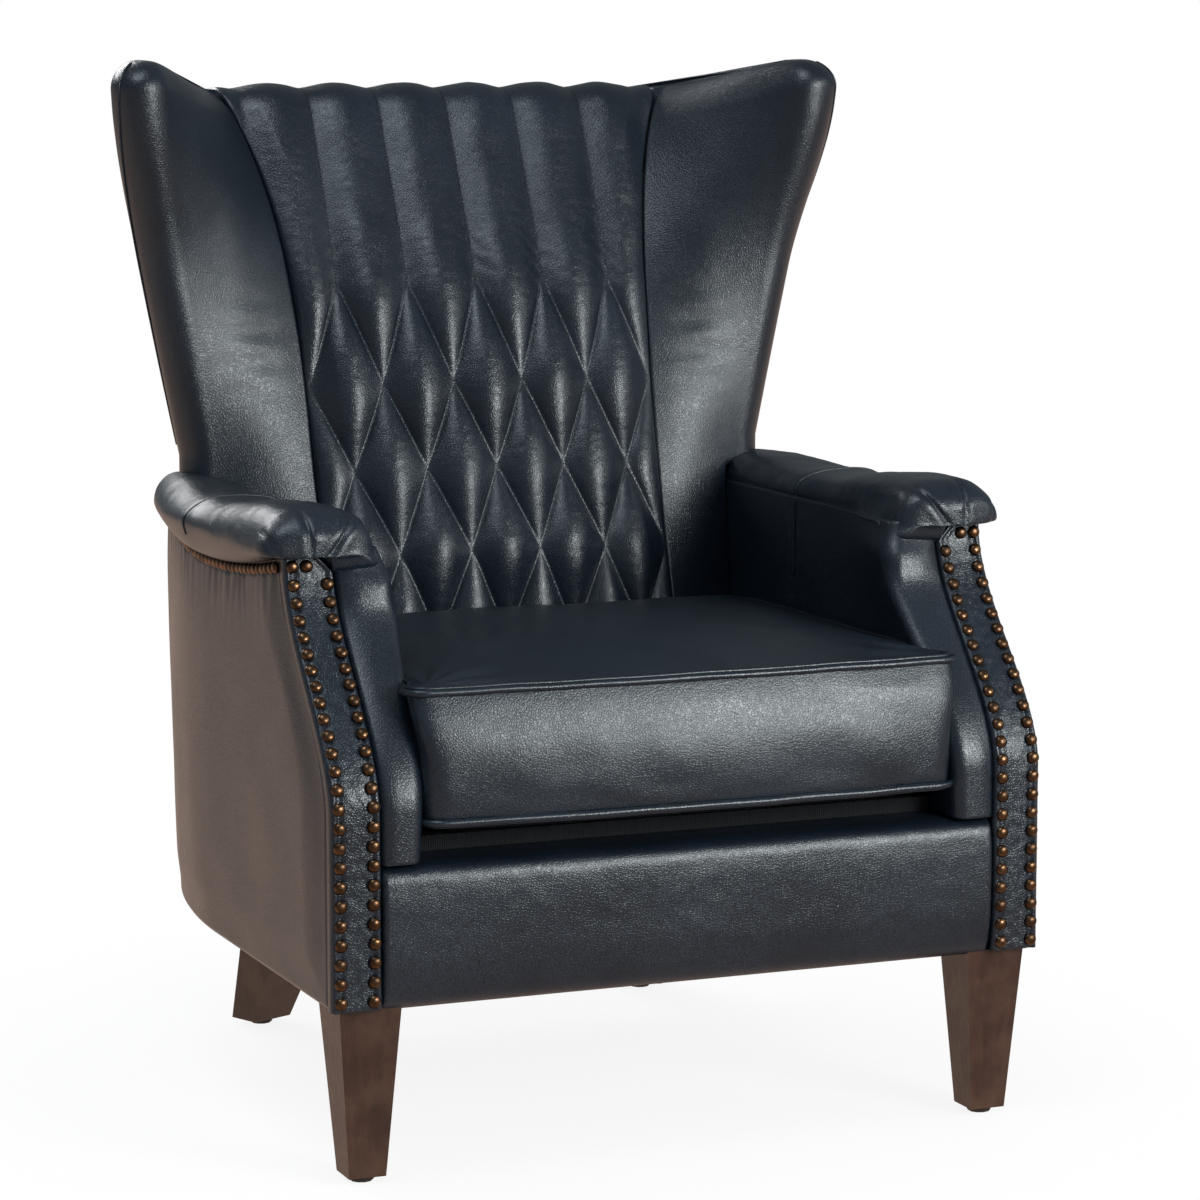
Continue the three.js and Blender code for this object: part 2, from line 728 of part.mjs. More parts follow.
// Black cloth under the frame, with the leg bolts through it
function dustCover() {
  const stations = sideStations(railFront, frameRear);
  const edge = stations.map((y) => [sideX(y) - frameOutset, y]);
  const outline = [...edge, ...edge.map(([x, y]) => [-x, y]).reverse()];
  const ring = (z) => outline.map(([x, y]) => [x, y, z]);
  const sheet = skin([ring(bodyBottom), ring(bodyBottom + dustCoverThickness)]);
  const tops = Object.values(legPlaces).map(({ top }) => top);
  const holes = tops.flatMap(({ x, y }) => [frameHole(x, y), frameHole(-x, y)]);
  return cut(sheet, ...holes);
}
add("dust_cover", dustCover(), cloth);

// Padded leather over the front rail
function frontCover() {
  const half = facingInner - clearance;
  const top = railTop + clearance + frontCoverTop;
  const overSprings = railTop + 2 * clearance + springWire;
  const puff = frontCoverPuff;
  const profile = [
    [facingFront + puff, bodyBottom],
    [facingFront + puff / 4, lerp(bodyBottom, top, 0.2)],
    [facingFront + clearance, lerp(bodyBottom, top, 0.55)],
    [facingFront + puff / 4, lerp(bodyBottom, top, 0.85)],
    [facingFront + puff, top - puff / 4],
    [facingFront + 2 * puff, top],
    [frontCoverRear, top],
    [frontCoverRear, overSprings],
    [facingFront + frontCoverDepth, overSprings],
    [facingFront + frontCoverDepth, bodyBottom],
  ];
  const ring = (x) => profile.map(([y, z]) => [x, y, z]);
  return skin([ring(-half), ring(half)]);
}
add("front_rail_cover", frontCover(), leather);

// Arms

// The pad on the inner side of an arm, with a rounded front edge
const wingLowY = padPlane(topWeltZ) + wingLowBehind;
const armRearY = wingLowY - armRearAhead;
function armPad() {
  const bottom = railTop + 2 * clearance + frontCoverTop;
  const levels = [bottom, ...frontFacets.slice(1).map(([, z]) => z)];
  const rings = levels.map((z) => {
    const front = frontY(z) + clearance;
    const outer = facingInner - clearance;
    const backEdge = sideStations(taperStart, armRearY).reverse();
    const nose = range(4).map((i) => (i / 3) * (Math.PI / 2));
    const inner = nose.map((a) => [
      armInner + armPadNose * (1 - Math.sin(a)),
      front + armPadNose * (1 - Math.cos(a)),
    ]);
    const outline = [
      [outer, front + armPadNose / 4],
      [outer - armPadNose / 4, front],
      ...inner,
      [armInner + armPadFlare, armRearY],
      ...backEdge.map((y) => [armBoardInner(y) - clearance, y]),
    ];
    return outline.map(([x, y]) => [x, y, z]);
  });
  return skin(rings);
}
addPair("arm_pad", armPad(), leather);

// Section of the arm roll at a station along the arm, grown outwards by a margin
const rollFront = frontY(armLine) - rollFrontOverhang;
const rollRear = backY(rollBottom) - frameOutset - rollRearGap;
const rollAt = (share) => lerp(rollFront, rollRear, share);
const rollHeights = [
  [rollFront, rollHeight * 0.9],
  [rollAt(rollPeakShare), rollHeight],
  [rollAt(rollDipShare), rollDipHeight],
  [rollAt(rollRearShare), rollRearHeight],
  [rollRear, rollEndHeight],
];
function rollRing(y, draw, grow) {
  const side = sideX(y);
  const outer = side + rollOverhang + grow;
  const flare = armPadFlare * clamp((y - rollFront) / (armRearY - rollFront));
  const inner = Math.min(armInner + rollInnerStep + flare, side + rollOverhang - rollLeastWidth) - grow;
  const foot = side + 2 * clearance;
  const top = rollBottom + through(rollHeights, y) + grow;
  const overNails = rowHeight(y) + rowNailDiameter / 2 + rowNailRoom;
  const lip = lerp(rollBottom, overNails, ease(clamp((y - rollFront - rollNose) / rollNose))) - grow;
  const crown = lerp(inner, outer, 1 / 2);
  const shape = [
    [inner, rollBottom - grow],
    [inner, lerp(rollBottom, top, 0.42)],
    [lerp(inner, crown, 0.16), lerp(rollBottom, top, 0.76)],
    [lerp(inner, crown, 0.52), lerp(rollBottom, top, 0.95)],
    [crown, top],
    [lerp(crown, outer, 0.5), lerp(rollBottom, top, 0.94)],
    [lerp(crown, outer, 0.86), lerp(rollBottom, top, 0.6)],
    [outer, lerp(rollBottom, top, 0.1)],
    [lerp(foot, outer, 0.6), lerp(rollBottom, lip, 0.9)],
    [foot, lip],
    [foot, rollBottom + 2 * clearance - grow],
  ];
  const middle = lerp(rollBottom, top, 1 / 2);
  return shape.map(([x, z]) => [lerp(x, crown, draw), y, lerp(z, Math.min(z, middle), draw)]);
}
const rollBetweenShare = (rollPeakShare + rollDipShare) / 2;
const rollBends = [rollPeakShare, rollBetweenShare, rollRearShare].map(rollAt);
rollBends.push(rowNailLowY + rowNailReach, rollRear - rollBendGap);
function rollSolid(grow) {
  const noseDrawShares = [0.22, 0.06];
  const bends = [rollFront + rollNose, ...rollBends, rollRear + grow];
  const stations = [...new Set([...sideStations(bends[0], bends.at(-1)), ...bends])].sort((a, b) => a - b);
  const noseY = (i) => rollFront + (rollNose * i * i) / 4 - grow;
  const rings = noseDrawShares.map((draw, i) => rollRing(noseY(i), draw, grow));
  return skin([...rings, ...stations.map((y) => rollRing(y, 0, grow))]);
}

// Wings: at each level a section in plan, from the seam with the back to the nose
const wingHighX = bodyHalfWidth + wingHighOut;
const wingEdge = [
  [wingLowZ, bodyHalfWidth - wingLowIn],
  [wingMidZ, bodyHalfWidth - wingMidIn],
  [wingHighZ, wingHighX],
];
const wingDepth = [
  [wingLowZ, wingLowY],
  [wingMidZ, padPlane(wingMidZ) - wingMidAhead],
  [wingHighZ, padPlane(wingHighZ) - wingHighAhead],
];
function wingFrameAt(z) {
  const level = Math.min(Math.max(z, wingLowZ), wingHighZ);
  const x = through(wingEdge, level) - wingNose;
  const y = through(wingDepth, level) - backSlope * Math.max(0, topWeltZ - z);
  const start = new THREE.Vector2(seamX(z) + clearance, padFace(z));
  const centre = new THREE.Vector2(x, y);
  const reach = centre.clone().sub(start);
  const run = Math.sqrt(reach.lengthSq() - wingNose ** 2);
  const towards = reach.normalize().rotateAround(new THREE.Vector2(), -Math.atan2(wingNose, run));
  const away = new THREE.Vector2(-towards.y, towards.x);
  return { start, towards, away, centre, run };
}

// Height of the wing's top at a place across it, and of each level there
const wingTopAt = (across) => backTop + wingRise * ease(clamp(across));
function wingHeight(level, across) {
  const share = clamp((level - wingLowZ) / (backTop - wingLowZ));
  return level + (wingTopAt(across) - backTop) * share;
}

// A point of a wing section: run along the face, then off it at right angles
function wingPoint(frame, level, run, off) {
  const spot = frame.start.clone().addScaledVector(frame.towards, run);
  spot.addScaledVector(frame.away, off);
  const x = Math.max(spot.x, frame.start.x);
  const slide = (x - spot.x) / frame.towards.x;
  const y = spot.y + slide * frame.towards.y;
  const across = (x - frame.start.x) / (frame.centre.x - frame.start.x);
  return [x, y, wingHeight(level, across)];
}

// Levels of a wing with how far its faces are drawn in there
const wingDraws = [
  ...wingLevels.slice(2).map((level) => [level, 0, 0]),
  [backTop - wingTopRound / 3, wingTopRound / 4, wingTipDraw / 3],
  [backTop, wingTopRound * 0.7, wingTipDraw],
];

function wingPad() {
  const lowest = [padBottom + clearance, topWeltZ].map((level) => [level, 0, 0]);
  const rings = [...lowest, ...wingDraws].map(([level, draw, tip]) => {
    const frame = wingFrameAt(level);
    const noseRun = frame.run - tip;
    const radius = wingNose - draw;
    const arc = [1 / 6, 2 / 6, 3 / 6, 4 / 6, 5 / 6].map((turn) => turn * Math.PI);
    const outline = [
      [0, draw],
      [noseRun / 2, draw],
      [noseRun, draw],
      ...arc.map((a) => [noseRun + radius * Math.sin(a), wingNose - radius * Math.cos(a)]),
      [noseRun, wingNose + radius],
      [noseRun - wingWrap, wingNose + radius],
      [noseRun - wingWrap, wingPadThickness],
      [0, wingPadThickness],
    ];
    return outline.map(([run, off]) => wingPoint(frame, level, run, off));
  });
  const besideArm = box(
    [armInner + armPadFlare - wingArmGap, wingHighX + cutOverrun],
    [0, overallDepth],
    [0, rollBottom + rollHeight / 2],
  );
  const innerSide = 10; // place of the face towards the board in a section
  const turned = (_, i) => i === innerSide;
  return cut(skin(rings, { turned }), rollSolid(clearance), besideArm);
}

// The board inside a wing stands on the arm board; grown by a margin it cuts its own slot
function wingBoard(grow) {
  const levels = [rollBottom - grow, ...wingLevels.slice(2)];
  const rings = levels.map((level) => {
    const frame = wingFrameAt(level);
    const near = wingPadThickness + wingBoardRoom - grow;
    const far = near + wingBoardThickness + 2 * grow;
    const inner = Math.max(frameOuterFace + clearance, seamX(level) + 2 * clearance) - grow;
    const reach = frame.run - wingWrap - 2 * wingBoardRoom + grow;
    const startRun = (off) => (inner - frame.start.x - off * frame.away.x) / frame.towards.x;
    return [
      wingPoint(frame, level, startRun(near), near),
      wingPoint(frame, level, reach, near),
      wingPoint(frame, level, reach, far),
      wingPoint(frame, level, startRun(far), far),
    ];
  });
  return skin(rings);
}

function wingPanel() {
  const lowLevel = rollBottom + rollHeight / 2;
  const rings = [[lowLevel, 0, 0], ...wingDraws].map(([level, draw, tip]) => {
    const frame = wingFrameAt(level);
    const edge = wingPoint(frame, level, frame.run - tip - wingWrap - 6 * clearance, 2 * wingNose - draw);
    const corner = [backHalf(level) - draw, backY(level) - coverThickness - 2 * clearance, level];
    const length = Math.hypot(corner[0] - edge[0], corner[1] - edge[1]);
    const out = [(corner[1] - edge[1]) / length, (edge[0] - corner[0]) / length];
    const at = (share, depth) => {
      const off = wingPanelBow * 4 * share * (1 - share) - depth;
      return [
        lerp(edge[0], corner[0], share) + out[0] * off,
        lerp(edge[1], corner[1], share) + out[1] * off,
        lerp(edge[2], corner[2], share),
      ];
    };
    const panelShares = [0, 1 / 3, 2 / 3, 1];
    const outer = panelShares.map((share) => at(share, 0));
    const inner = panelShares.map((share) => at(1 - share, wingPanelThickness));
    return [...outer, ...inner];
  });
  return cut(skin(rings), rollSolid(clearance));
}

addPair("wing_board", wingBoard(0), frameWood);
addPair("arm_roll", cut(rollSolid(0), wingBoard(clearance)), leather);
addPair("wing_pad", wingPad(), leather);
addPair("outer_wing", wingPanel(), leather);

// Outer side of an arm: a board that starts behind the facing and follows the side to the back
function outerArm() {
  const levels = frontFacets.map(([, z]) => z);
  const rings = levels.map((z) => {
    const from = frontY(z) + facingThickness + clearance;
    const to = backY(z) - coverThickness - clearance;
    const stations = [from, ...sideKnots.slice(1).map(([y]) => y), to];
    const outer = stations.map((y) => [sideX(y), y, z]);
    const inner = stations.map((y) => [sideX(y) - coverThickness, y, z]).reverse();
    return [...outer, ...inner];
  });
  return skin(rings);
}
addPair("outer_arm", outerArm(), leather);

// The facing: a curved strip of covered board with its top inner corner cut off
function facing() {
  const chamferStart = armLine - facingChamfer;
  const levels = frontFacets.map(([, z]) => z).filter((z) => z < chamferStart);
  const rings = [...levels, chamferStart, armLine].map((z) => {
    const inner = facingInner + Math.max(0, z - chamferStart);
    const front = frontY(z);
    const outline = [
      [inner, front + facingThickness],
      [inner, front + facingBevel],
      [inner + facingBevel, front],
      [bodyHalfWidth - facingBevel, front],
      [bodyHalfWidth, front + facingBevel],
      [bodyHalfWidth, front + facingThickness],
    ];
    return outline.map(([x, y]) => [x, y, z]);
  });
  return skin(rings);
}
addPair("arm_facing", facing(), leather);

// Nail trim: domed heads on a thin strip. Each head is a swelling of one long loft.
// A stop is the head's centre, the surface's outward direction there, and the head's radius.
function nailTrim(stops) {
  const rings = stops.flatMap(({ centre, out, radius, height, ends }, i) => {
    const before = stops[Math.max(0, i - 1)].centre;
    const after = stops[Math.min(stops.length - 1, i + 1)].centre;
    const along = after.clone().sub(before).normalize();
    const side = along.clone().cross(out).normalize();
    const ring = (run, half, rise) =>
      [
        [-half, 0],
        [-half * 0.6, rise],
        [half * 0.6, rise],
        [half, 0],
      ].map(([across, up]) =>
        centre
          .clone()
          .addScaledVector(along, run)
          .addScaledVector(side, across)
          .addScaledVector(out, nailLift + up)
          .toArray(),
      );
    const heads = [ring(-radius / 2, radius * 0.87, height), ring(radius / 2, radius * 0.87, height)];
    const strip = (run) => ring(run, nailStripWidth / 2, nailStripHeight);
    return ends ? [strip(-radius), ...heads, strip(radius)] : [strip(-radius), ...heads];
  });
  return skin(rings);
}

// Centres of the facing's nails: up the outer edge, across the top, down the inner edge
function facingNails() {
  const facets = frontFacets.slice(1);
  const straightPitch = facingStraight / nailsOnStraight;
  const spots = range(nailsOnStraight).map((i) => {
    const z = bodyBottom + straightPitch * (i + 1 / 2);
    return [facingFront, z, 0, -1];
  });
  for (const i of range(nailsOnCurve)) {
    const [[y0, z0], [y1, z1]] = [facets[i], facets[i + 1]];
    const length = Math.hypot(y1 - y0, z1 - z0);
    spots.push([(y0 + y1) / 2, (z0 + z1) / 2, (y1 - y0) / length, -(z1 - z0) / length]);
  }
  const stop = (x, [y, z, outZ, outY], run = 0) => ({
    centre: new THREE.Vector3(x, y - run * outZ, z + run * outY),
    out: new THREE.Vector3(0, outY, outZ),
    radius: nailDiameter / 2,
    height: nailHeight,
    ends: true,
  });
  const outerX = bodyHalfWidth - nailEdge;
  const innerX = facingInner + nailEdge;
  const top = spots.at(-1);
  const lower = spots.slice(0, -1);
  return [
    ...spots.map((spot) => stop(outerX, spot)),
    stop(lerp(innerX, outerX, 0.56), top),
    stop(innerX + nailEdge * 0.4, top, nailEdge * 0.55),
    ...lower.reverse().map((spot) => stop(innerX, spot)),
  ];
}
addPair("facing_nails", nailTrim(facingNails()), nailMetal);

// Close-set nails under the roll, in a line that sags
function rowNails() {
  const from = frontY(armLine) + facingThickness + rowNailFrontGap;
  const to = rollRear - rowNailFrontGap;
  const count = Math.floor((to - from) / rowNailPitch);
  return range(count + 1).map((i) => {
    const y = from + i * rowNailPitch;
    const step = rowNailPitch / 2;
    const out = new THREE.Vector3(2 * step, sideX(y - step) - sideX(y + step), 0).normalize();
    const centre = new THREE.Vector3(sideX(y), y, rowHeight(y));
    return { centre, out, radius: rowNailDiameter / 2, height: nailHeight, ends: false };
  });
}
addPair("roll_nails", nailTrim(rowNails()), nailMetal);

// Outer back
function outerBack() {
  const ring = (z) => plan(-backHalf(z), backHalf(z), backY(z) - coverThickness, backY(z), z);
  const rings = [bodyBottom, rearTop].map(ring);
  return skin(rings);
}
add("outer_back", outerBack(), leather);

// Quilted back pad

// How far the quilting stands off its seams, from 0 to 1: channels above the first row of
// crossings, diamonds below it
const quiltPitch = (2 * (seatSeamHalf - quiltEdgeRoom)) / halfColumns;
function quilt(x, z, half) {
  const lowest = rowLevels.at(-1);
  if (z < lowest) return 0;
  const rowIndex = rowLevels.findIndex((level) => z >= level);
  const between = (z - rowLevels[rowIndex]) / (rowLevels[rowIndex - 1] - rowLevels[rowIndex]);
  const row = rowIndex === 0 ? 0 : rowIndex - between;
  const across = x / quiltPitch;
  const lean = row / 2;
  const waves = Math.sin(Math.PI * (across + lean)) * Math.sin(Math.PI * (across - lean));
  const swell = Math.sqrt(Math.abs(waves));
  return swell * Math.sqrt(clamp((half - Math.abs(x)) / quiltEdgeFade));
}

const columnSteps = 3;
const columns = range(2 * halfColumns * columnSteps + 1).map((i) => i - halfColumns * columnSteps);

// Columns keep the quilting's pitch, except the outermost half pitch, which reaches the seam
function columnX(column, half) {
  const step = quiltPitch / 2 / columnSteps;
  const inside = (halfColumns - 1) * columnSteps;
  const past = (Math.abs(column) - inside) / columnSteps;
  return past <= 0 ? column * step : Math.sign(column) * lerp(inside * step, half, past);
}

function backPad() {
  const hangBottom = backTop - backPadHang;
  const hangRear = backY(hangBottom) - coverThickness - clearance;
  // One level: its height, its face behind the plane of the seams, how much of the puff shows
  const ring = (z, back, puffShare, rear) => {
    const half = seamX(z) - clearance;
    const face = columns.map((column) => {
      const x = columnX(column, half);
      const level = Math.min(z, roundStart);
      const puff = puffShare * (quiltPuff * quilt(x, level, half) + bowAt(level) * (1 - (x / half) ** 2));
      return [x, padFace(level) + back - puff, z];
    });
    return [...face, [half, rear, z], [-half, rear, z]];
  };
  const rings = padLevels().map((z) => ring(z, 0, 1, padRear(z)));
  const ledge = backPadHang / 10; // the hanging part's underside rises by this towards the rear
  rings.push(ring(hangBottom, ledge / 2, 1, padRear(hangBottom)));
  for (const turn of [0.3, 0.55, 0.8, 1]) {
    const angle = (turn * Math.PI) / 2;
    const z = Math.max(hangBottom + ledge, roundStart + backTopRadius * Math.sin(angle));
    rings.push(ring(z, backTopRadius * (1 - Math.cos(angle)), 1 - turn / 2, hangRear));
  }
  const firstCell = 2;
  const cells = (rowLevels.length - 1) * cellSteps;
  const turned = (level, i) => {
    if (level < firstCell || level >= firstCell + cells || i >= columns.length - 1) return false;
    const row = Math.floor((level - firstCell) / cellSteps);
    const column = Math.floor(columns[i] / columnSteps);
    return (row + column) % 2 !== 0;
  };
  return skin(rings, { turned });
}
add("back_pad", backPad(), leather);

// Loose seat cushion
const cushionHalfWidth = armInner - cushionSideGap;

const cushionTop = topWeltZ + cushionTopCrown;
const cushionFront = frontPlane;
const weltGroove = welt * 0.77; // half the height of the groove that a piping lies in
function cushionRear(z) {
  const level = Math.min(Math.max(z, bottomWeltZ + weltGroove), topWeltZ - weltGroove);
  return padFace(level) - bowAt(level) - quiltPuff - cushionBackGap;
}

// Outline of the cushion at a height, drawn in by an inset, with its front edge bowed
function cushionRing(z, inset) {
  const half = cushionHalfWidth - inset;
  const rear = cushionRear(z) - inset;
  const front = cushionFront + inset + cushionLean * clamp((z - bottomWeltZ) / cushionBorder);
  const corner = Math.max(cushionCorner - inset, cushionCorner / 4);
  const frontCorner = Math.max(cushionFrontCorner - inset, cushionFrontCorner / 4);
  const points = [];
  const turn = (cx, cy, from, radius) => {
    for (const i of range(4)) {
      const angle = from + (i / 3) * (Math.PI / 2);
      points.push([cx + radius * Math.cos(angle), cy + radius * Math.sin(angle)]);
    }
  };
  const side = (from, to, axis) => {
    for (const share of [1 / 4, 1 / 2, 3 / 4]) {
      const point = [lerp(from[0], to[0], share), lerp(from[1], to[1], share)];
      point[axis] -= axis === 1 && from[0] < to[0] ? cushionBow * Math.sin(Math.PI * share) : 0;
      points.push(point);
    }
  };
  const bowed = front + cushionBow;
  turn(half - corner, rear - corner, 0, corner);
  side([half - corner, rear], [corner - half, rear], 0);
  turn(corner - half, rear - corner, Math.PI / 2, corner);
  side([-half, rear - corner], [-half, bowed + frontCorner], 0);
  turn(frontCorner - half, bowed + frontCorner, Math.PI, frontCorner);
  side([frontCorner - half, bowed], [half - frontCorner, bowed], 1);
  turn(half - frontCorner, bowed + frontCorner, -Math.PI / 2, frontCorner);
  side([half, bowed + frontCorner], [half, rear - corner], 0);
  return points.map(([x, y]) => [x, y, z]);
}

function cushionBody() {
  const lip = welt / 2;
  const grooveDepth = lip + (lip + clearance) * Math.SQRT2;
  const sections = [
    [cushionBottom, cushionCorner * 2.4],
    [lerp(cushionBottom, bottomWeltZ, 0.3), cushionCorner * 1.1],
    [bottomWeltZ - weltGroove, lip],
    [bottomWeltZ, grooveDepth],
    [bottomWeltZ + weltGroove, lip],
    [lerp(bottomWeltZ, topWeltZ, 0.3), 0],
    [lerp(bottomWeltZ, topWeltZ, 0.7), 0],
    [topWeltZ - weltGroove, lip],
    [topWeltZ, grooveDepth],
    [topWeltZ + weltGroove, lip],
    [lerp(topWeltZ, cushionTop, 0.75), cushionCorner * 1.1],
    [cushionTop, cushionCorner * 2.8],
  ];
  return skin(sections.map(([z, inset]) => cushionRing(z, inset)));
}

function cushionPiping(z) {
  const radius = welt / 2;
  const line = cushionRing(z, radius);
  const rings = line.map(([x, y], i) => {
    const [ax, ay] = line[(i + line.length - 1) % line.length];
    const [bx, by] = line[(i + 1) % line.length];
    const length = Math.hypot(bx - ax, by - ay);
    const [ox, oy] = [(by - ay) / length, (ax - bx) / length];
    return range(5).map((k) => {
      const angle = (k / 5) * 2 * Math.PI;
      const off = radius * Math.cos(angle);
      return [x + ox * off, y + oy * off, z + radius * Math.sin(angle)];
    });
  });
  return skin(rings, { loop: true });
}

add("seat_cushion", cushionBody(), leather);
add("cushion_top_piping", cushionPiping(topWeltZ), piping);
add("cushion_bottom_piping", cushionPiping(bottomWeltZ), piping);

export default chair;
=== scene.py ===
"""A leather wing chair: soft forms, nails, stitches and materials around its fixed frame."""

import json
import math
import random

import bmesh
import bpy
import numpy as np
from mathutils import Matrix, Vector, noise


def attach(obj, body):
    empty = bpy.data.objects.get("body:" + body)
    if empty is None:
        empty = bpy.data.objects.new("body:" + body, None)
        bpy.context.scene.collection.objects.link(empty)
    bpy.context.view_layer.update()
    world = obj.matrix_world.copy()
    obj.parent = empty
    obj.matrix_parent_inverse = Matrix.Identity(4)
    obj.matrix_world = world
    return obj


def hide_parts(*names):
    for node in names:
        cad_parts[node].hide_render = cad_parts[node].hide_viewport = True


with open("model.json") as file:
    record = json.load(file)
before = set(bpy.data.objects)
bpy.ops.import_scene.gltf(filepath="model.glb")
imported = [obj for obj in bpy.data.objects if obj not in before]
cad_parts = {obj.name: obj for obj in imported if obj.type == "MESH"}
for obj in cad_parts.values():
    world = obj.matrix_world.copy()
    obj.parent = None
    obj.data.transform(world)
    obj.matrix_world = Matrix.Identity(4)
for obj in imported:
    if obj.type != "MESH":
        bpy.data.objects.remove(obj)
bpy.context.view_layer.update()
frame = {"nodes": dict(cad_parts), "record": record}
nodes = frame["nodes"]
random.seed(7)

# ---------------------------------------------------------------- sizes, in millimetres
BACK_TOP = 1008.0
BACK_TOP_Y = 395.0
PAD_TOP_Y = 307.0
RAKE = 0.338
PAD_BOTTOM = 320.0
ROUND_START = 984.0
ROWS = np.array([804.0, 697.0, 607.0, 520.0, 435.0])
PITCH = 77.0
BODY_HALF = 367.0
BODY_BOTTOM = 171.0
ARM_LINE = 579.0
FACING_INNER = 317.0
FACING_FRONT = -381.0
WING_RISE = 32.0
WING_NOSE = 30.0
WING_SHOULDER = 979.0
TOP_WELT = 461.7
BOTTOM_WELT = 341.7


def lerp(a, b, t):
    return a + (b - a) * t


def ease(t):
    t = np.clip(t, 0.0, 1.0)
    return t * t * (3 - 2 * t)


def through(knots):
    """A smooth monotone curve through (place, value) knots, straight past its ends."""
    xs, ys = np.array(knots, float).T
    h = np.diff(xs)
    d = np.diff(ys) / h
    m = np.zeros(len(xs))
    m[0], m[-1] = d[0], d[-1]
    for i in range(1, len(xs) - 1):
        if d[i - 1] * d[i] > 0:
            m[i] = 2 * d[i - 1] * d[i] / (d[i - 1] + d[i])

    def at(x):
        x = np.asarray(x, float)
        k = np.clip(np.searchsorted(xs, x) - 1, 0, len(h) - 1)
        t = (x - xs[k]) / h[k]
        u = np.clip(t, 0, 1)
        inside = (
            (2 * u**3 - 3 * u**2 + 1) * ys[k]
            + (u**3 - 2 * u**2 + u) * h[k] * m[k]
            + (3 * u**2 - 2 * u**3) * ys[k + 1]
            + (u**3 - u**2) * h[k] * m[k + 1]
        )
        return inside + np.where(t > 1, (t - 1) * h[k] * m[k + 1], 0) + np.where(t < 0, t * h[k] * m[k], 0)

    return at


def pad_plane(z):
    return PAD_TOP_Y - RAKE * (BACK_TOP - z)


def back_bulge(z):
    """How far the middle of the back's height stands ahead of a straight rake; it starts softly."""
    room = 40 * (1 - ease((z - 680) / 80))
    total = 0.0
    for part in (-1.0, -0.5, 0.0, 0.5, 1.0):
        total = total + 15 * np.sin(np.pi * np.clip((z + part * room - 600) / 408, 0, 1))
    return total / 5


def pad_face(z):
    return pad_plane(z) - back_bulge(z)


def bow(z):
    return 24 * ease((z - 440) / 90) * (1 - ease((z - 600) / 408))


def seam_x(z):
    up = (z - 480) / 510
    return 193 + 7 * up + 44 * np.maximum(0, up) ** 5


def side_x(y):
    return BODY_HALF - 70 * (np.maximum(0, np.asarray(y, float) + 10) / 330) ** 2


def front_y(z):
    return FACING_FRONT + 131 * ease((z - 353) / 226)


def back_y(z):
    return lerp(320, 395, (z - BODY_BOTTOM) / 832)


def back_half(z):
    return 297 - 24 * (z - BODY_BOTTOM) / 832


def wobble(points, scale, seed=0.0):
    """Smooth noise from -1 to 1 at each point, with bumps about scale mm across."""
    flat = np.asarray(points, float).reshape(-1, 3) / scale
    values = [noise.noise((x + seed, y, z)) for x, y, z in flat]
    return np.array(values).reshape(np.asarray(points).shape[:-1])


# ---------------------------------------------------------------- mesh helpers
def make_mesh(name, verts, faces, smooth=True):
    """A mesh object from millimetre points."""
    me = bpy.data.meshes.new(name)
    me.from_pydata((np.asarray(verts, float).reshape(-1, 3) * 0.001).tolist(), [], faces)
    me.polygons.foreach_set("use_smooth", [smooth] * len(me.polygons))
    me.update()
    ob = bpy.data.objects.new(name, me)
    bpy.context.scene.collection.objects.link(ob)
    return ob


def turn_out(ob):
    bm = bmesh.new()
    bm.from_mesh(ob.data)
    bmesh.ops.recalc_face_normals(bm, faces=bm.faces)
    bm.to_mesh(ob.data)
    bm.free()
    return ob


def quads(rows, cols, wrap, first=0):
    out = []
    for r in range(rows - 1):
        for c in range(cols if wrap else cols - 1):
            d = (c + 1) % cols
            out.append((first + r * cols + c, first + r * cols + d, first + (r + 1) * cols + d, first + (r + 1) * cols + c))
    return out


def loft(name, rings, closed_ends=True):
    """A closed skin over rings of equal length, given as an array (rings, points, 3)."""
    rings = np.asarray(rings, float)
    count, around = rings.shape[:2]
    faces = quads(count, around, True)
    if closed_ends:
        faces.append(tuple(range(around)))
        faces.append(tuple(reversed(range((count - 1) * around, count * around))))
    ob = turn_out(make_mesh(name, rings, faces))
    if closed_ends:
        for poly in list(ob.data.polygons)[-2:]:
            poly.use_smooth = False
    return ob


def tube(name, line, radius, sides=10, closed=False):
    """A round tube along a line of points."""
    line = np.asarray(line, float)
    n = len(line)
    ahead = np.roll(line, -1, 0) if closed else np.vstack([line[1:], line[-1:]])
    behind = np.roll(line, 1, 0) if closed else np.vstack([line[:1], line[:-1]])
    tangent = ahead - behind
    tangent /= np.linalg.norm(tangent, axis=1)[:, None]
    up = np.tile([0.0, 0.0, 1.0], (n, 1))
    flat = np.abs(tangent[:, 2]) > 0.9
    up[flat] = [1.0, 0.0, 0.0]
    a = np.cross(tangent, up)
    a /= np.linalg.norm(a, axis=1)[:, None]
    b = np.cross(a, tangent)
    turns = np.linspace(0, 2 * np.pi, sides, endpoint=False)
    rings = line[:, None] + radius * (np.cos(turns)[None, :, None] * a[:, None] + np.sin(turns)[None, :, None] * b[:, None])
    faces = quads(n, sides, True)
    if closed:
        for c in range(sides):
            d = (c + 1) % sides
            faces.append(((n - 1) * sides + c, (n - 1) * sides + d, d, c))
    else:
        faces += [tuple(range(sides)), tuple(reversed(range((n - 1) * sides, n * sides)))]
    return turn_out(make_mesh(name, rings, faces))


def mirrored(ob, name):
    """The left-hand twin of a right-hand piece."""
    me = ob.data.copy()
    me.name = name
    co = np.empty(len(me.vertices) * 3)
    me.vertices.foreach_get("co", co)
    co[::3] *= -1
    me.vertices.foreach_set("co", co)
    me.flip_normals()
    me.update()
    twin = bpy.data.objects.new(name, me)
    bpy.context.scene.collection.objects.link(twin)
    return twin


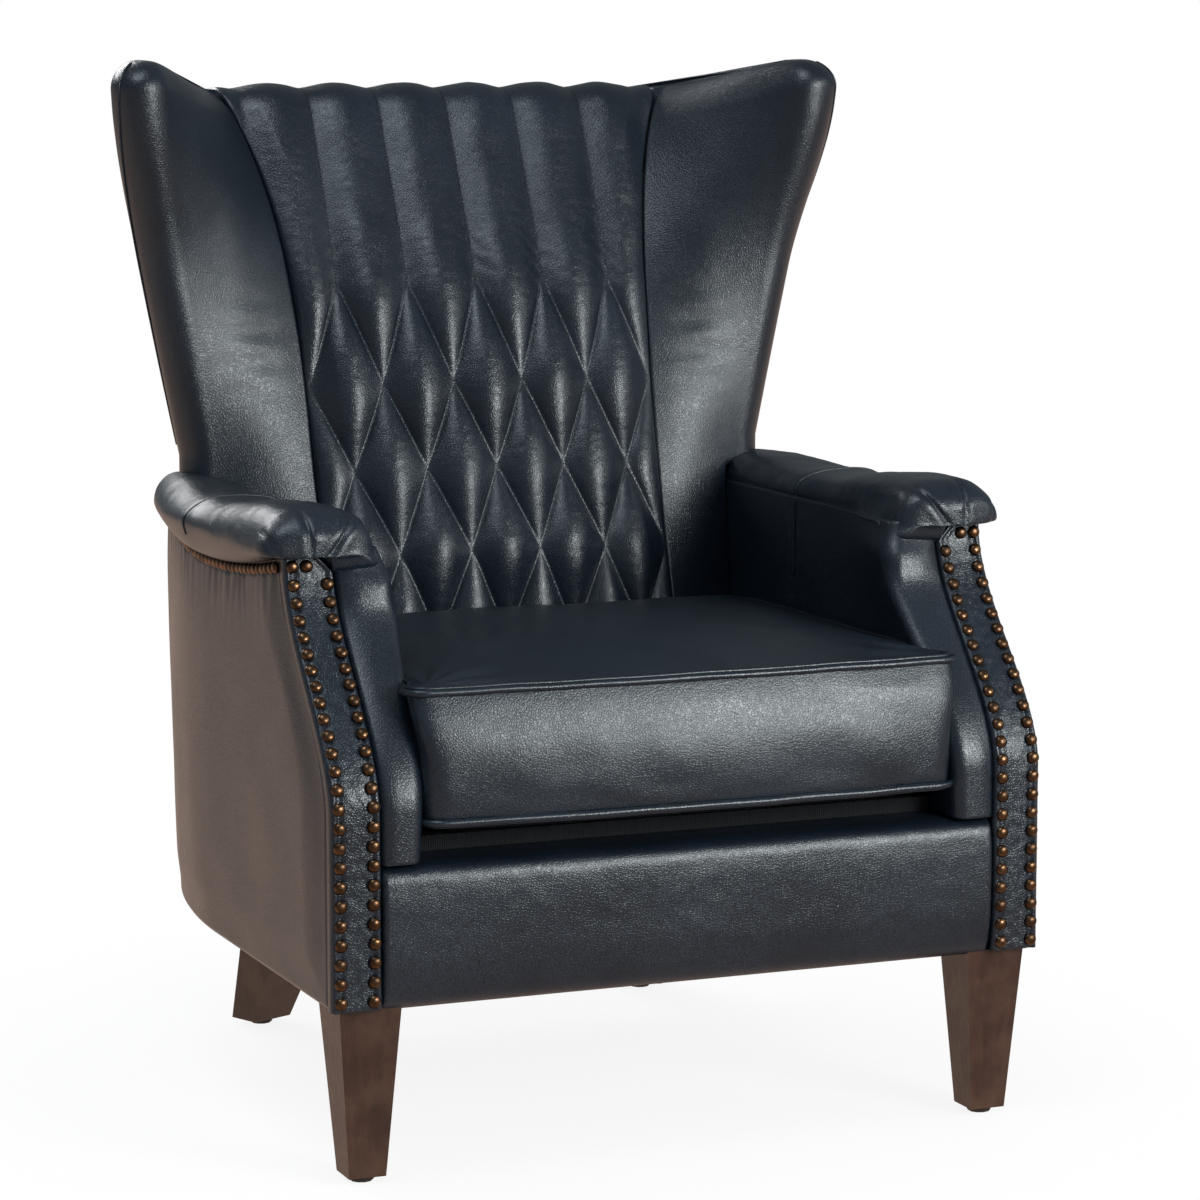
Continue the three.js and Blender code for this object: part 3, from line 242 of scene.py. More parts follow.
def paint(ob, material):
    ob.data.materials.clear()
    ob.data.materials.append(material)
    return ob


def settle(ob, body, material, slot, *replaced, fill=None):
    """Gives a piece its material and its body, and hides the CAD nodes that it stands for."""
    paint(ob, material)
    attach(ob, body)
    if replaced:
        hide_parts(*replaced)
    return ob


def round_off(distance, radius):
    """How far a face drops at a distance from its edge, for an edge rounded to a radius."""
    d = np.clip(distance, 0, radius)
    return radius - np.sqrt(np.maximum(0, radius**2 - (radius - d) ** 2))


# ---------------------------------------------------------------- materials
class Nodes:
    """A short way to build a material's node tree."""

    def __init__(self, name):
        self.mat = bpy.data.materials.new(name)
        self.mat.use_nodes = True
        self.tree = self.mat.node_tree
        self.bsdf = self.tree.nodes["Principled BSDF"]
        self.place = self.add("ShaderNodeTexCoord").outputs["Object"]

    def add(self, kind, **settings):
        node = self.tree.nodes.new(kind)
        for key, value in settings.items():
            if key[0] == "_":
                setattr(node, key[1:], value)
            else:
                self.feed(node.inputs[key.replace("__", " ")], value)
        return node

    def feed(self, socket, value):
        if isinstance(value, bpy.types.NodeSocket):
            self.tree.links.new(value, socket)
        else:
            socket.default_value = value

    def noise(self, scale, detail=2.0, rough=0.5, vector=None, distortion=0.0):
        node = self.add("ShaderNodeTexNoise", Vector=vector or self.place, Scale=scale, Detail=detail, Roughness=rough)
        node.inputs["Distortion"].default_value = distortion
        return node.outputs["Fac"]

    def voronoi(self, scale, feature="F1", vector=None, randomness=1.0):
        node = self.add("ShaderNodeTexVoronoi", _feature=feature, Vector=vector or self.place, Scale=scale)
        node.inputs["Randomness"].default_value = randomness
        return node.outputs["Distance"]

    def remap(self, value, low, high, to_low=0.0, to_high=1.0):
        node = self.add("ShaderNodeMapRange", Value=value)
        node.interpolation_type = "SMOOTHSTEP"
        for key, v in (("From Min", low), ("From Max", high), ("To Min", to_low), ("To Max", to_high)):
            node.inputs[key].default_value = v
        return node.outputs["Result"]

    def math(self, operation, a, b=0.0):
        node = self.add("ShaderNodeMath", _operation=operation)
        self.feed(node.inputs[0], a)
        self.feed(node.inputs[1], b)
        return node.outputs[0]

    def mix(self, factor, a, b):
        node = self.add("ShaderNodeMix", _data_type="RGBA")
        self.feed(node.inputs["Factor"], factor)
        self.feed(node.inputs["A"], a)
        self.feed(node.inputs["B"], b)
        return node.outputs["Result"]

    def stretched(self, scale, turn=(0.0, 0.0, 0.0)):
        node = self.add("ShaderNodeMapping", Vector=self.place)
        node.inputs["Scale"].default_value = scale
        node.inputs["Rotation"].default_value = turn
        return node.outputs["Vector"]

    def shifted(self, amount):
        """Object coordinates moved about a little, so that cells don't lie in rows."""
        swirl = self.add("ShaderNodeTexNoise", Vector=self.place, Scale=160.0).outputs["Color"]
        small = self.add("ShaderNodeVectorMath", _operation="SCALE", Vector=swirl)
        small.inputs["Scale"].default_value = amount
        return self.sum(self.place, small.outputs[0])

    def sum(self, a, b):
        node = self.add("ShaderNodeVectorMath", _operation="ADD")
        self.tree.links.new(a, node.inputs[0])
        self.tree.links.new(b, node.inputs[1])
        return node.outputs[0]

    def bump(self, *layers):
        """Layers of (height, distance in metres), the coarsest first."""
        normal = None
        for height, distance in layers:
            node = self.add("ShaderNodeBump", Height=height)
            node.inputs["Distance"].default_value = distance
            if normal is not None:
                self.tree.links.new(normal, node.inputs["Normal"])
            normal = node.outputs["Normal"]
        self.tree.links.new(normal, self.bsdf.inputs["Normal"])


def leather(name, dark=(0.0050, 0.0095, 0.0170), light=(0.0095, 0.0165, 0.0285), grain=1.0, crease=0.5, rough=(0.29, 0.37)):
    n = Nodes(name)
    pebbles = n.remap(n.voronoi(400.0, "DISTANCE_TO_EDGE", n.shifted(0.0012)), 0.0, 0.25)
    fine = n.noise(900.0, 2.0)
    patches = n.noise(9.0, 3.0)
    waves = n.noise(26.0, 3.0, 0.55)
    folds = n.noise(1.0, 4.0, 0.6, n.stretched((70.0, 70.0, 170.0), (0.0, 0.5, 0.0)), 0.4)
    color = n.mix(n.remap(patches, 0.3, 0.7), dark + (1.0,), light + (1.0,))
    color = n.mix(pebbles, tuple(c * 0.7 for c in dark) + (1.0,), color)
    n.feed(n.bsdf.inputs["Base Color"], color)
    n.feed(n.bsdf.inputs["Roughness"], n.remap(n.math("ADD", fine, n.math("MULTIPLY", patches, 0.8)), 0.6, 1.15, *rough))
    n.bsdf.inputs["IOR"].default_value = 1.45
    n.bsdf.inputs["Specular IOR Level"].default_value = 0.8
    n.bsdf.inputs["Specular Tint"].default_value = (0.86, 0.94, 1.0, 1.0)
    n.bump((waves, 0.0007 * crease), (folds, 0.0002 * crease), (pebbles, 0.00010 * grain), (fine, 0.000008 * grain))
    return n.mat


def plain_cloth(name, color, scale=700.0):
    n = Nodes(name)
    weave = n.math(
        "MULTIPLY",
        n.math("SINE", n.math("MULTIPLY", n.add("ShaderNodeSeparateXYZ", Vector=n.place).outputs[0], scale * 4)),
        n.math("SINE", n.math("MULTIPLY", n.add("ShaderNodeSeparateXYZ", Vector=n.place).outputs[1], scale * 4)),
    )
    shade = n.noise(40.0, 3.0)
    n.feed(n.bsdf.inputs["Base Color"], n.mix(shade, tuple(c * 0.7 for c in color) + (1.0,), tuple(c * 1.25 for c in color) + (1.0,)))
    n.bsdf.inputs["Roughness"].default_value = 0.92
    n.bump((n.noise(60.0, 3.0), 0.0006), (weave, 0.0003))
    return n.mat


def wood(name, dark, light, rough, grain_axis=(14.0, 14.0, 1.6), worn=None):
    n = Nodes(name)
    along = n.stretched(grain_axis)
    rings = n.noise(5.5, 5.0, 0.6, along, 0.6)
    fibre = n.noise(60.0, 3.0, 0.6, along)
    color = n.mix(n.remap(rings, 0.32, 0.68), dark + (1.0,), light + (1.0,))
    color = n.mix(n.remap(fibre, 0.45, 0.75, 0.0, 0.4), color, tuple(c * 0.6 for c in dark) + (1.0,))
    if worn:
        point = n.add("ShaderNodeNewGeometry").outputs["Pointiness"]
        edge = n.math("MULTIPLY", n.remap(point, 0.54, 0.66), n.remap(n.noise(30.0, 3.0), 0.35, 0.75, 0.1, 0.6))
        color = n.mix(edge, color, worn + (1.0,))
    n.feed(n.bsdf.inputs["Base Color"], color)
    n.feed(n.bsdf.inputs["Roughness"], n.remap(fibre, 0.3, 0.7, rough, rough + 0.14))
    n.bump((rings, 0.0003), (fibre, 0.00018))
    return n.mat


def metal(name, color, rough, dark=None, scale=90.0):
    n = Nodes(name)
    tarnish = n.noise(scale, 4.0, 0.6)
    dark = dark or tuple(c * 0.35 for c in color)
    n.feed(n.bsdf.inputs["Base Color"], n.mix(n.remap(tarnish, 0.35, 0.65), dark + (1.0,), color + (1.0,)))
    n.bsdf.inputs["Metallic"].default_value = 1.0
    n.feed(n.bsdf.inputs["Roughness"], n.remap(tarnish, 0.3, 0.7, rough + 0.12, rough))
    n.bump((n.noise(scale * 6, 2.0), 0.00008))
    return n.mat


def plastic(name, color):
    n = Nodes(name)
    n.feed(n.bsdf.inputs["Base Color"], n.mix(n.noise(80.0, 2.0), tuple(c * 0.7 for c in color) + (1.0,), color + (1.0,)))
    n.bsdf.inputs["Roughness"].default_value = 0.5
    n.bump((n.noise(900.0, 1.0), 0.00004))
    return n.mat


LEATHER = leather("leather")
PANEL = leather("panel_leather", grain=1.3, crease=0.2, rough=(0.28, 0.36))
WELT = leather("welt_leather", grain=0.7, crease=0.2, rough=(0.26, 0.34))
THREAD = plain_cloth("thread", (0.006, 0.008, 0.013), 1500.0)
LEG_WOOD = wood("leg_wood", (0.020, 0.0066, 0.0038), (0.036, 0.0132, 0.0076), 0.30, worn=(0.085, 0.042, 0.025))
FRAME_WOOD = wood("frame_wood", (0.36, 0.235, 0.125), (0.52, 0.37, 0.21), 0.6)
STEEL = metal("spring_steel", (0.45, 0.45, 0.47), 0.3)
NAIL = metal("nail_bronze", (0.165, 0.096, 0.054), 0.28, (0.080, 0.047, 0.028), 110.0)
GLIDE = plastic("glide_plastic", (0.016, 0.016, 0.017))
BLACK_CLOTH = plain_cloth("dust_cloth", (0.013, 0.013, 0.014))
# Dark deck cloth, made darker still as painted shade for the shadowed gap under the cushion's front
DECK_CLOTH_AND_PAINTED_SHADE = plain_cloth("deck_cloth", (0.006, 0.008, 0.011))
JUTE = plain_cloth("jute_webbing", (0.42, 0.33, 0.2), 250.0)
BY_SLOT = {
    "leather": LEATHER,
    "piping": WELT,
    "leg_wood": LEG_WOOD,
    "frame_wood": FRAME_WOOD,
    "steel": STEEL,
    "nail_metal": NAIL,
    "glide": GLIDE,
    "black_cloth": BLACK_CLOTH,
    "deck_cloth": DECK_CLOTH_AND_PAINTED_SHADE,
    "webbing": JUTE,
}
for row in frame["record"]["subparts"]:
    paint(nodes[row["node"]], BY_SLOT[row["material_slot"]])

for side in ("left", "right"):
    for leg in ("front_leg", "rear_leg"):
        bevel = nodes[f"{side}_{leg}"].modifiers.new("edges", "BEVEL")
        bevel.width = 0.0016
        bevel.segments = 3
        bevel.limit_method = "ANGLE"

# ---------------------------------------------------------------- quilted back
def quilt(x, z):
    """Height of the quilting from 0 to 1: channels above the first row of crossings, diamonds below."""
    row = np.interp(-z, -ROWS, np.arange(len(ROWS)))
    a = np.sin(np.pi * (x / PITCH + row / 2))
    b = np.sin(np.pi * (x / PITCH - row / 2))
    return np.abs(a * b)


def back_lean(z):
    """Angle of the back's face from upright, in side view."""
    return np.arctan((pad_face(z + 1.0) - pad_face(z - 1.0)) / 2)


TOP_LEAN = float(back_lean(ROUND_START))
TOP_RADIUS = (BACK_TOP - ROUND_START) / (1 - math.sin(TOP_LEAN))
TOP_ARC = TOP_RADIUS * (math.pi / 2 - TOP_LEAN)


def back_point(x, run, puff):
    """A point of the back pad's front and top: run is the length up the face and over its top edge."""
    z = np.minimum(run, ROUND_START)
    turn = np.clip((run - ROUND_START) / TOP_RADIUS, 0, math.pi / 2 - TOP_LEAN)
    over = np.maximum(0, run - ROUND_START - TOP_ARC)
    angle = back_lean(z) + turn
    y = pad_face(z) + TOP_RADIUS * (math.cos(TOP_LEAN) - np.cos(TOP_LEAN + turn)) + over
    height = z + TOP_RADIUS * (np.sin(TOP_LEAN + turn) - math.sin(TOP_LEAN))
    push = puff * np.where(over > 0, ease(1 - over / 28), 1)
    return np.stack([x, y - push * np.cos(angle), height + push * np.sin(angle)], -1)


def back_pad():
    runs = np.concatenate([np.linspace(PAD_BOTTOM, ROUND_START, 300), ROUND_START + np.linspace(2.2, TOP_ARC + 26, 36)])
    columns = np.linspace(-1, 1, 231)
    run, share = np.meshgrid(runs, columns, indexing="ij")
    z = np.minimum(run, ROUND_START)
    turn = np.clip((run - ROUND_START) / TOP_RADIUS, 0, math.pi / 2 - TOP_LEAN)
    tall = z + TOP_RADIUS * (np.sin(TOP_LEAN + turn) - math.sin(TOP_LEAN))
    half = seam_x(tall) - 0.15
    x = share * half
    height = quilt(x, z) ** lerp(0.66, 0.60, ease((z - ROWS[0] + 30) / 120))
    edge = np.sqrt(np.clip((half - np.abs(x)) / 30, 0, 1))
    top = lerp(1.0, 0.55, ease((run - ROUND_START + 30) / 80))
    low = ease((z - 400) / 60)
    swell = lerp(17.0, 11.0, ease((z - ROWS[0] + 30) / 120))
    puff = (swell * height * edge * low + 9 * (1 - low) * edge) * top
    puff += bow(z) * (1 - share**2) * top - round_off(half - np.abs(x), 1.3)
    # Small pulls of the leather where seams meet, and slow unevenness
    flat = np.stack([x, z * 0.0, z], -1)
    puff += (1.1 * wobble(flat, 38.0, 3.0) + 0.35 * wobble(flat * [1.0, 1.0, 2.2], 13.0, 8.0)) * height
    near = np.exp(-(((z - ROWS[0]) / 60) ** 2)) * (z > ROWS[0] - 20)
    ripple = np.sin((z * 0.62 + np.abs(x) * 0.48) / 2.1 + 2.5 * wobble(flat, 30.0, 5.0))
    puff += 0.28 * ripple * near * (1 - height) * (height > 0.02)
    front = back_point(x, run, puff)
    # Sides, rear and underside close the pad behind its face
    rings = []
    for i in range(len(runs)):
        ring = front[i]
        z0 = min(runs[i], ROUND_START)
        rear = pad_plane(z0) + 58 if runs[i] <= ROUND_START else min(385.0, pad_plane(z0) + 58)
        right, left = ring[-1], ring[0]
        depth = max(rear, right[1] + 2)
        zr = min(right[2], 1004.0)
        extra = [[right[0], lerp(right[1], depth, t), zr] for t in (0.35, 1.0)]
        extra += [[right[0] * s, depth, zr] for s in (0.5, 0.0, -0.5)]
        extra += [[left[0], lerp(left[1], depth, t), zr] for t in (1.0, 0.35)]
        rings.append(np.vstack([ring, extra]))
    ob = loft("back_pad_leather", rings)
    return ob, back_point, front


def stitch_row(points, outs, pitch=3.9, length=2.7, width=0.55, rise=0.35):
    """Short thread stitches along a line: lists of vertices and faces."""
    points = np.asarray(points, float)
    outs = np.asarray(outs, float)
    steps = np.linalg.norm(np.diff(points, axis=0), axis=1)
    at = np.concatenate([[0], np.cumsum(steps)])
    verts, faces = [], []
    for k in range(int(at[-1] / pitch)):
        s = (k + 0.5) * pitch
        p = np.array([np.interp(s, at, points[:, i]) for i in range(3)])
        q = np.array([np.interp(s + 0.5, at, points[:, i]) for i in range(3)])
        o = np.array([np.interp(s, at, outs[:, i]) for i in range(3)])
        t = (q - p) / (np.linalg.norm(q - p) + 1e-9)
        o = o / (np.linalg.norm(o) + 1e-9)
        w = np.cross(t, o)
        first = len(verts)
        for run, wide, up in ((-0.5, 0.35, 0.0), (-0.25, 1.0, 0.9), (0.25, 1.0, 0.9), (0.5, 0.35, 0.0)):
            c = p + t * run * length
            verts += [c - w * wide * width - o * rise, c + o * rise * (up + 0.2), c + w * wide * width - o * rise]
        for r in range(3):
            for c in range(3):
                d = (c + 1) % 3
                a = first + r * 3
                faces.append((a + c, a + d, a + 3 + d, a + 3 + c))
        faces += [(first, first + 1, first + 2), (first + 11, first + 10, first + 9)]
    return verts, faces


def stitched(name, rows, **how):
    verts, faces = [], []
    for points, outs in rows:
        v, f = stitch_row(points, outs, **how)
        faces += [tuple(i + len(verts) for i in face) for face in f]
        verts += v
    return turn_out(make_mesh(name, verts, faces))


def back_stitches():
    rows = []
    out = [0.0, -0.95, 0.32]
    for column in range(-2, 3):
        x0 = column * PITCH
        run = np.linspace(ROWS[0], ROUND_START + 62, 90)
        z = np.minimum(run, ROUND_START)
        half = seam_x(z) - 0.6
        puff = bow(z) * (1 - (x0 / half) ** 2) + 0.25
        rows.append((back_point(np.full_like(run, x0), run, puff), np.tile(out, (len(run), 1))))
    for start in range(-6, 7):
        for way in (-1, 1):
            z = np.linspace(ROWS[0], ROWS[-1] - 40, 160)
            row = np.interp(-z, -ROWS, np.arange(len(ROWS)))
            row += np.maximum(0, ROWS[-1] - z) / 85
            x = (start + way * row / 2) * PITCH
            half = seam_x(z) - 0.6
            keep = np.abs(x) < half - 3
            if keep.sum() < 6:
                continue
            x, z, half = x[keep], z[keep], half[keep]
            low = ease((z - 400) / 60)
            edge = np.sqrt(np.clip((half - np.abs(x)) / 30, 0, 1))
            puff = bow(z) * (1 - (x / half) ** 2) + 0.25 + 9 * (1 - low) * edge
            rows.append((back_point(x, z, puff), np.tile(out, (len(x), 1))))
    return stitched("back_pad_stitches", rows)


pad, _, _ = back_pad()
settle(pad, "chair", LEATHER, "leather", "back_pad", fill=0.8)
settle(back_stitches(), "chair", THREAD, "leather")


# ---------------------------------------------------------------- wings
wing_edge = through([(500, 299), (630, 328), (800, 366), (960, 403.3), (1008, 407)])
wing_depth = through([(500, 213), (630, 213), (800, 211), (960, 180), (1008, 176)])


def wing_frame(z):
    level = np.clip(z, 630, 985)
    centre = np.array([wing_edge(level) - WING_NOSE, wing_depth(level) - RAKE * max(0.0, TOP_WELT - z)])
    start = np.array([seam_x(z) + 0.15, pad_face(z)])
    reach = centre - start
    gap = np.linalg.norm(reach)
    run = math.sqrt(gap**2 - WING_NOSE**2)
    turn = -math.atan2(WING_NOSE, run)
    u = reach / gap
    towards = np.array([u[0] * math.cos(turn) - u[1] * math.sin(turn), u[0] * math.sin(turn) + u[1] * math.cos(turn)])
    return start, towards, np.array([-towards[1], towards[0]]), centre, run


def wing_height(level, across):
    share = np.clip((level - 630) / (BACK_TOP - 630), 0, 1)
    return level + WING_RISE * ease(across) * share


def wing_point(f, level, run, off):
    start, towards, away, centre, _ = f
    spot = start + towards * run + away * off
    x = max(spot[0], start[0])
    y = spot[1] + (x - spot[0]) / towards[0] * towards[1]
    across = (x - start[0]) / (centre[0] - start[0])
    return [x, y, float(wing_height(level, across))]


def wing_ring(level, draw, tip, puff=1.0):
    f = wing_frame(level)
    run = f[4] - tip
    radius = WING_NOSE - draw
    ring = []
    face_runs = np.concatenate([np.linspace(0, 8, 6), np.linspace(12, run, 44)])
    for r in face_runs:
        share = np.clip(r / run, 0, 1)
        fullness = lerp(6.5, 3.5, float(ease((level - 560) / 220)))
        body = fullness * math.sin(math.pi * share**0.8) ** 1.3
        swell = puff * body * float(1 - ease((430 - level) / 110))
        spot = np.array([r, 0.0, level])
        swell += puff * 1.0 * noise.noise((r / 45, level / 60, 4.2)) * math.sin(math.pi * share)
        # Soft dents where the wing bends towards the arm
        dent = math.exp(-(((level - 745) / 55) ** 2)) * math.exp(-(((share - 0.45) / 0.25) ** 2))
        swell -= puff * 1.6 * dent * (0.5 + 0.5 * math.sin(level / 5.2 + share * 2.0))
        ring.append(wing_point(f, level, r, draw - swell + float(round_off(r, 1.3))))
    for a in np.linspace(0, math.pi, 26)[1:]:
        ring.append(wing_point(f, level, run + radius * math.sin(a), WING_NOSE - radius * math.cos(a)))
    for r in (3, 7, 11):
        ring.append(wing_point(f, level, run - r, WING_NOSE + radius))
    ring.append(wing_point(f, level, run - 12, WING_NOSE + radius - 2))
    if level < WING_SHOULDER + 1:
        for off in np.linspace(WING_NOSE + radius - 8, 30, 4):
            ring.append(wing_point(f, level, run - 12, off))
        for r in np.linspace(run - 20, 0, 8):
            ring.append(wing_point(f, level, r, 29.5))
        return ring
    # Above the wing's board the padding closes the top as far as the outer back
    near = np.array(wing_point(f, level, run - 13, WING_NOSE + radius - 9))
    far = np.array([back_half(level) - draw - 9, back_y(level) - 13, level])
    for share in np.linspace(0, 1, 8):
        ring.append(list(lerp(near, far, share) + panel_dip(near, far, share)))
    side = np.array([f[0][0], far[1], level])
    ring += [list(side), list(lerp(side, np.array([*f[0], level]), 0.4)), list(lerp(side, np.array([*f[0], level]), 0.7))]
    ring.append(list(lerp(side, np.array([*f[0], level]), 0.9)))
    return ring


def wing_tops(count):
    """Levels of the wing's rounded top with how far its faces are drawn in there."""
    for a in np.linspace(0, 1, count)[1:]:
        angle = a * math.pi / 2
        draw = 21 * (1 - math.cos(angle))
        yield WING_SHOULDER + 28 * math.sin(angle), draw, 0.85 * draw, 1 - a


def wing_pad():
    rings = []
    for level in np.linspace(PAD_BOTTOM + 0.5, WING_SHOULDER, 190):
        rings.append(wing_ring(level, 0.0, 0.0))
    for level, draw, tip, puff in wing_tops(16):
        rings.append(wing_ring(level, draw, tip, puff))
    rings = np.array(rings)
    # The arm's inner pad and roll cover its lower outer part, so it is held inside them there
    hidden = rings[..., 2] < 622
    limit = np.where(rings[..., 2] < 602, 279.0, 400.0)
    cut = hidden & (rings[..., 0] > limit)
    rings[..., 0] = np.where(cut, limit, rings[..., 0])
    return loft("right_wing_leather", rings)


def panel_dip(edge, corner, share):
    """How far the outer wing's top runs below a straight line from the nose to the back."""
    return np.array([0.0, 0.0, (corner[2] - edge[2]) * share * (1 - share)])


def wing_panel():
    rings = []
    levels = [(level, 0.0, 0.0) for level in np.linspace(602, WING_SHOULDER, 70)]
    levels += [(level, draw, tip) for level, draw, tip, _ in wing_tops(12)]
    for level, draw, tip in levels:
        f = wing_frame(level)
        edge = np.array(wing_point(f, level, f[4] - tip - 12 - 1.8, 2 * WING_NOSE - draw))
        corner = np.array([back_half(level) - draw, back_y(level) - 8.6, level])
        d = corner - edge
        length = math.hypot(d[0], d[1])
        out = np.array([d[1] / length, -d[0] / length, 0.0])
        shares = np.linspace(0, 1, 34)
        outer = []
        for s in shares:
            off = 24 * s * (1 - s) - float(round_off(min(s, 1 - s) * length, 3.0))
            off += 1.0 * noise.noise((s * length / 50, level / 70, 2.0)) * math.sin(math.pi * s)
            outer.append(edge + d * s + out * off + panel_dip(edge, corner, s))
        inner = [edge + d * s - out * 6 + panel_dip(edge, corner, s) for s in shares[::-1][::4]]
        rings.append(outer + inner)
    return loft("right_outer_wing_leather", rings)


def wing_seam():
    """The sewn edge that runs down the outer side of the wing's nose."""
    line = []
    levels = [(level, 0.0, 0.0) for level in np.linspace(640, WING_SHOULDER, 70)]
    levels += [(level, draw, tip) for level, draw, tip, _ in wing_tops(12)][:8]
    for level, draw, tip in levels:
        f = wing_frame(level)
        radius = WING_NOSE - draw + 0.5
        a = math.radians(112)
        line.append(wing_point(f, level, f[4] - tip + radius * math.sin(a), WING_NOSE - radius * math.cos(a)))
    return tube("right_wing_seam", line, 1.1, 8)


wing = wing_pad()
panel = wing_panel()
seam_line = wing_seam()
for ob in (seam_line, mirrored(seam_line, "left_wing_seam")):
    settle(ob, "chair", WELT, "leather")
for ob, part, fill in ((wing, "wing_pad", 0.8), (panel, "outer_wing", 0.7)):
    twin = mirrored(ob, ob.name.replace("right", "left"))
    settle(ob, "chair", LEATHER, "leather", f"right_{part}", fill=fill)
    settle(twin, "chair", LEATHER, "leather", f"left_{part}", fill=fill)


# ---------------------------------------------------------------- arms
roll_height = through([(-257, 40), (-215, 45), (0, 30), (150, 35), (348, 24)])
ROLL_FRONT, ROLL_REAR = -257.0, float(back_y(579.3)) - 9


def spline(points, count):
    """A smooth closed curve through points, sampled evenly."""
    p = np.asarray(points, float)
    n = len(p)
    out = []
    for i in range(n):
        p0, p1, p2, p3 = p[(i - 1) % n], p[i], p[(i + 1) % n], p[(i + 2) % n]
        for t in np.linspace(0, 1, 8, endpoint=False):
            out.append(0.5 * (2 * p1 + (p2 - p0) * t + (2 * p0 - 5 * p1 + 4 * p2 - p3) * t**2 + (3 * p1 - p0 - 3 * p2 + p3) * t**3))
    out = np.array(out)
    steps = np.linalg.norm(np.roll(out, -1, 0) - out, axis=1)
    at = np.concatenate([[0], np.cumsum(steps)])
    loop = np.vstack([out, out[:1]])
    s = np.linspace(0, at[-1], count, endpoint=False)
    return np.stack([np.interp(s, at, loop[:, k]) for k in range(p.shape[1])], -1)


def row_height(y):
    away = np.minimum(1, np.abs(y + 30) / 200)
    return ARM_LINE - 11 - 18 * (1 - away**2)


def roll_section(y, draw):
    side = float(side_x(y))
    tuck = float(ease((y - 235) / 40))
    ending = 1 - float(ease((ROLL_REAR - y) / 60))
    outer = side + 22 - 15.5 * tuck - 6.5 * ending
    inner = min(275 + 4 + 5 * float(np.clip((y - ROLL_FRONT) / 447, 0, 1)), side + 22 - 54)
    low = 579.3
    top = low + float(roll_height(y))
    lip = lerp(low, float(row_height(y)) + 7.5, float(ease((y - ROLL_FRONT - 16) / 16)))
    crown = (inner + outer) / 2
    foot = side + 0.6 - 2 * ending
    # At the nose the leather comes down beside the facing and into the inner pad
    drop = 17 * float(ease((-212 - y) / 20)) * (1 - float(ease((-252 - y) / 9)))
    swell = 9 * float(ease((-120 - y) / 90))
    shape = [
        (inner - swell, low - drop),
        (inner - 0.7 * swell, lerp(low, top, 0.12) - 0.4 * drop),
        (inner, lerp(low, top, 0.42)),
        (lerp(inner, crown, 0.16), lerp(low, top, 0.76)),
        (lerp(inner, crown, 0.52), lerp(low, top, 0.95)),
        (crown, top),
        (lerp(crown, outer, 0.5), lerp(low, top, 0.94)),
        (lerp(crown, outer, 0.86), lerp(low, top, 0.6)),
        (outer, lerp(low, top, 0.1)),
        (lerp(foot, outer, 0.6), lerp(low, lip, 0.9)),
        (foot, lip),
        (foot, low + 0.6),
        (min(FACING_INNER + 2, foot - 6), low + 0.6),
        (min(FACING_INNER - 1, foot - 9), low - drop),
    ]
    middle = (low + top) / 2
    narrow = draw**1.7
    return [(lerp(x, crown, narrow), lerp(z, min(z, middle - 6), draw)) for x, z in shape]


PLEATS = (((385, 608), (377, 581), 1.0), ((346, 614), (344, 586), 2.4), ((305, 607), (323, 582), 2.8), ((314, 563), (270, 566), 2.6))


def pleated(x, z):
    """Depth of the tucks that gather the roll's nose around the top of the facing."""
    depth = 0.0
    for (x0, z0), (x1, z1), deep in PLEATS:
        length = math.hypot(x1 - x0, z1 - z0)
        along = ((x - x0) * (x1 - x0) + (z - z0) * (z1 - z0)) / length**2
        off = np.abs((x - x0) * (z1 - z0) - (z - z0) * (x1 - x0)) / length
        near = ease((along + 0.5) / 0.4) * ease((1.4 - along) / 0.4)
        depth = depth + near * (-deep * np.exp(-((off / 1.9) ** 2)) + 0.3 * deep * np.exp(-(((off - 7) / 4.5) ** 2)))
    return depth


def roll_ring(y, draw, tilt):
    """One ring of the arm roll; tilt is how far its surface faces forward there."""
    section = spline(roll_section(y, draw), 128)
    ring = np.stack([section[:, 0], np.full(128, float(y)), section[:, 1]], -1)
    out = ring - ring.mean(0)
    out[:, 1] = 0
    out /= np.linalg.norm(out, axis=1)[:, None]
    upper = ease((ring[:, 2] - 575) / 22)
    puff = 1.6 * wobble(ring, 46.0, 1.0) + 0.5 * wobble(ring, 15.0, 6.0)
    seam = -3.6 * math.exp(-abs(y - 1) / 1.8) + 2.2 * math.exp(-(((y - 1) / 26) ** 2))
    tucks = pleated(ring[:, 0], ring[:, 2]) * float(ease((-222 - y) / 12))
    facing = out * math.cos(tilt) - np.array([0, math.sin(tilt), 0])
    return ring + out * (upper * (puff + seam))[:, None] + facing * tucks[:, None]


def arm_roll():
    rings = []
    for t in np.radians(np.linspace(88, 3, 40)):
        rings.append(roll_ring(-228 - 35 * math.sin(t), 0.97 * (1 - math.cos(t)), t))
    stations = np.sort(np.concatenate([np.linspace(-228, ROLL_REAR, 190), np.linspace(-6, 8, 15)]))
    for y in stations:
        rings.append(roll_ring(y, 0.0, 0.0))
    return loft("right_arm_roll_leather", rings)


def arm_seam():
    """Thin sewn edge over the roll and down the inner pad, just ahead of the cross seam."""
    y = -3.2
    ring = roll_ring(y, 0.0, 0.0)
    count = len(ring)
    start = int(np.argmin(np.hypot(ring[:, 0] - 279, ring[:, 2] - 584)))
    step = 1 if ring[(start + 4) % count, 2] > ring[(start - 4) % count, 2] else -1
    line = [[276.4, y, z] for z in np.linspace(500, 578, 20)]
    centre = ring.mean(0)
    i = start
    while ring[i % count, 2] > 574 and abs(i - start) < count:
        out = ring[i % count] - centre
        line.append(list(ring[i % count] + out / np.linalg.norm(out) * 0.35))
        i += step
    return tube("right_arm_seam", line, 0.9, 8)


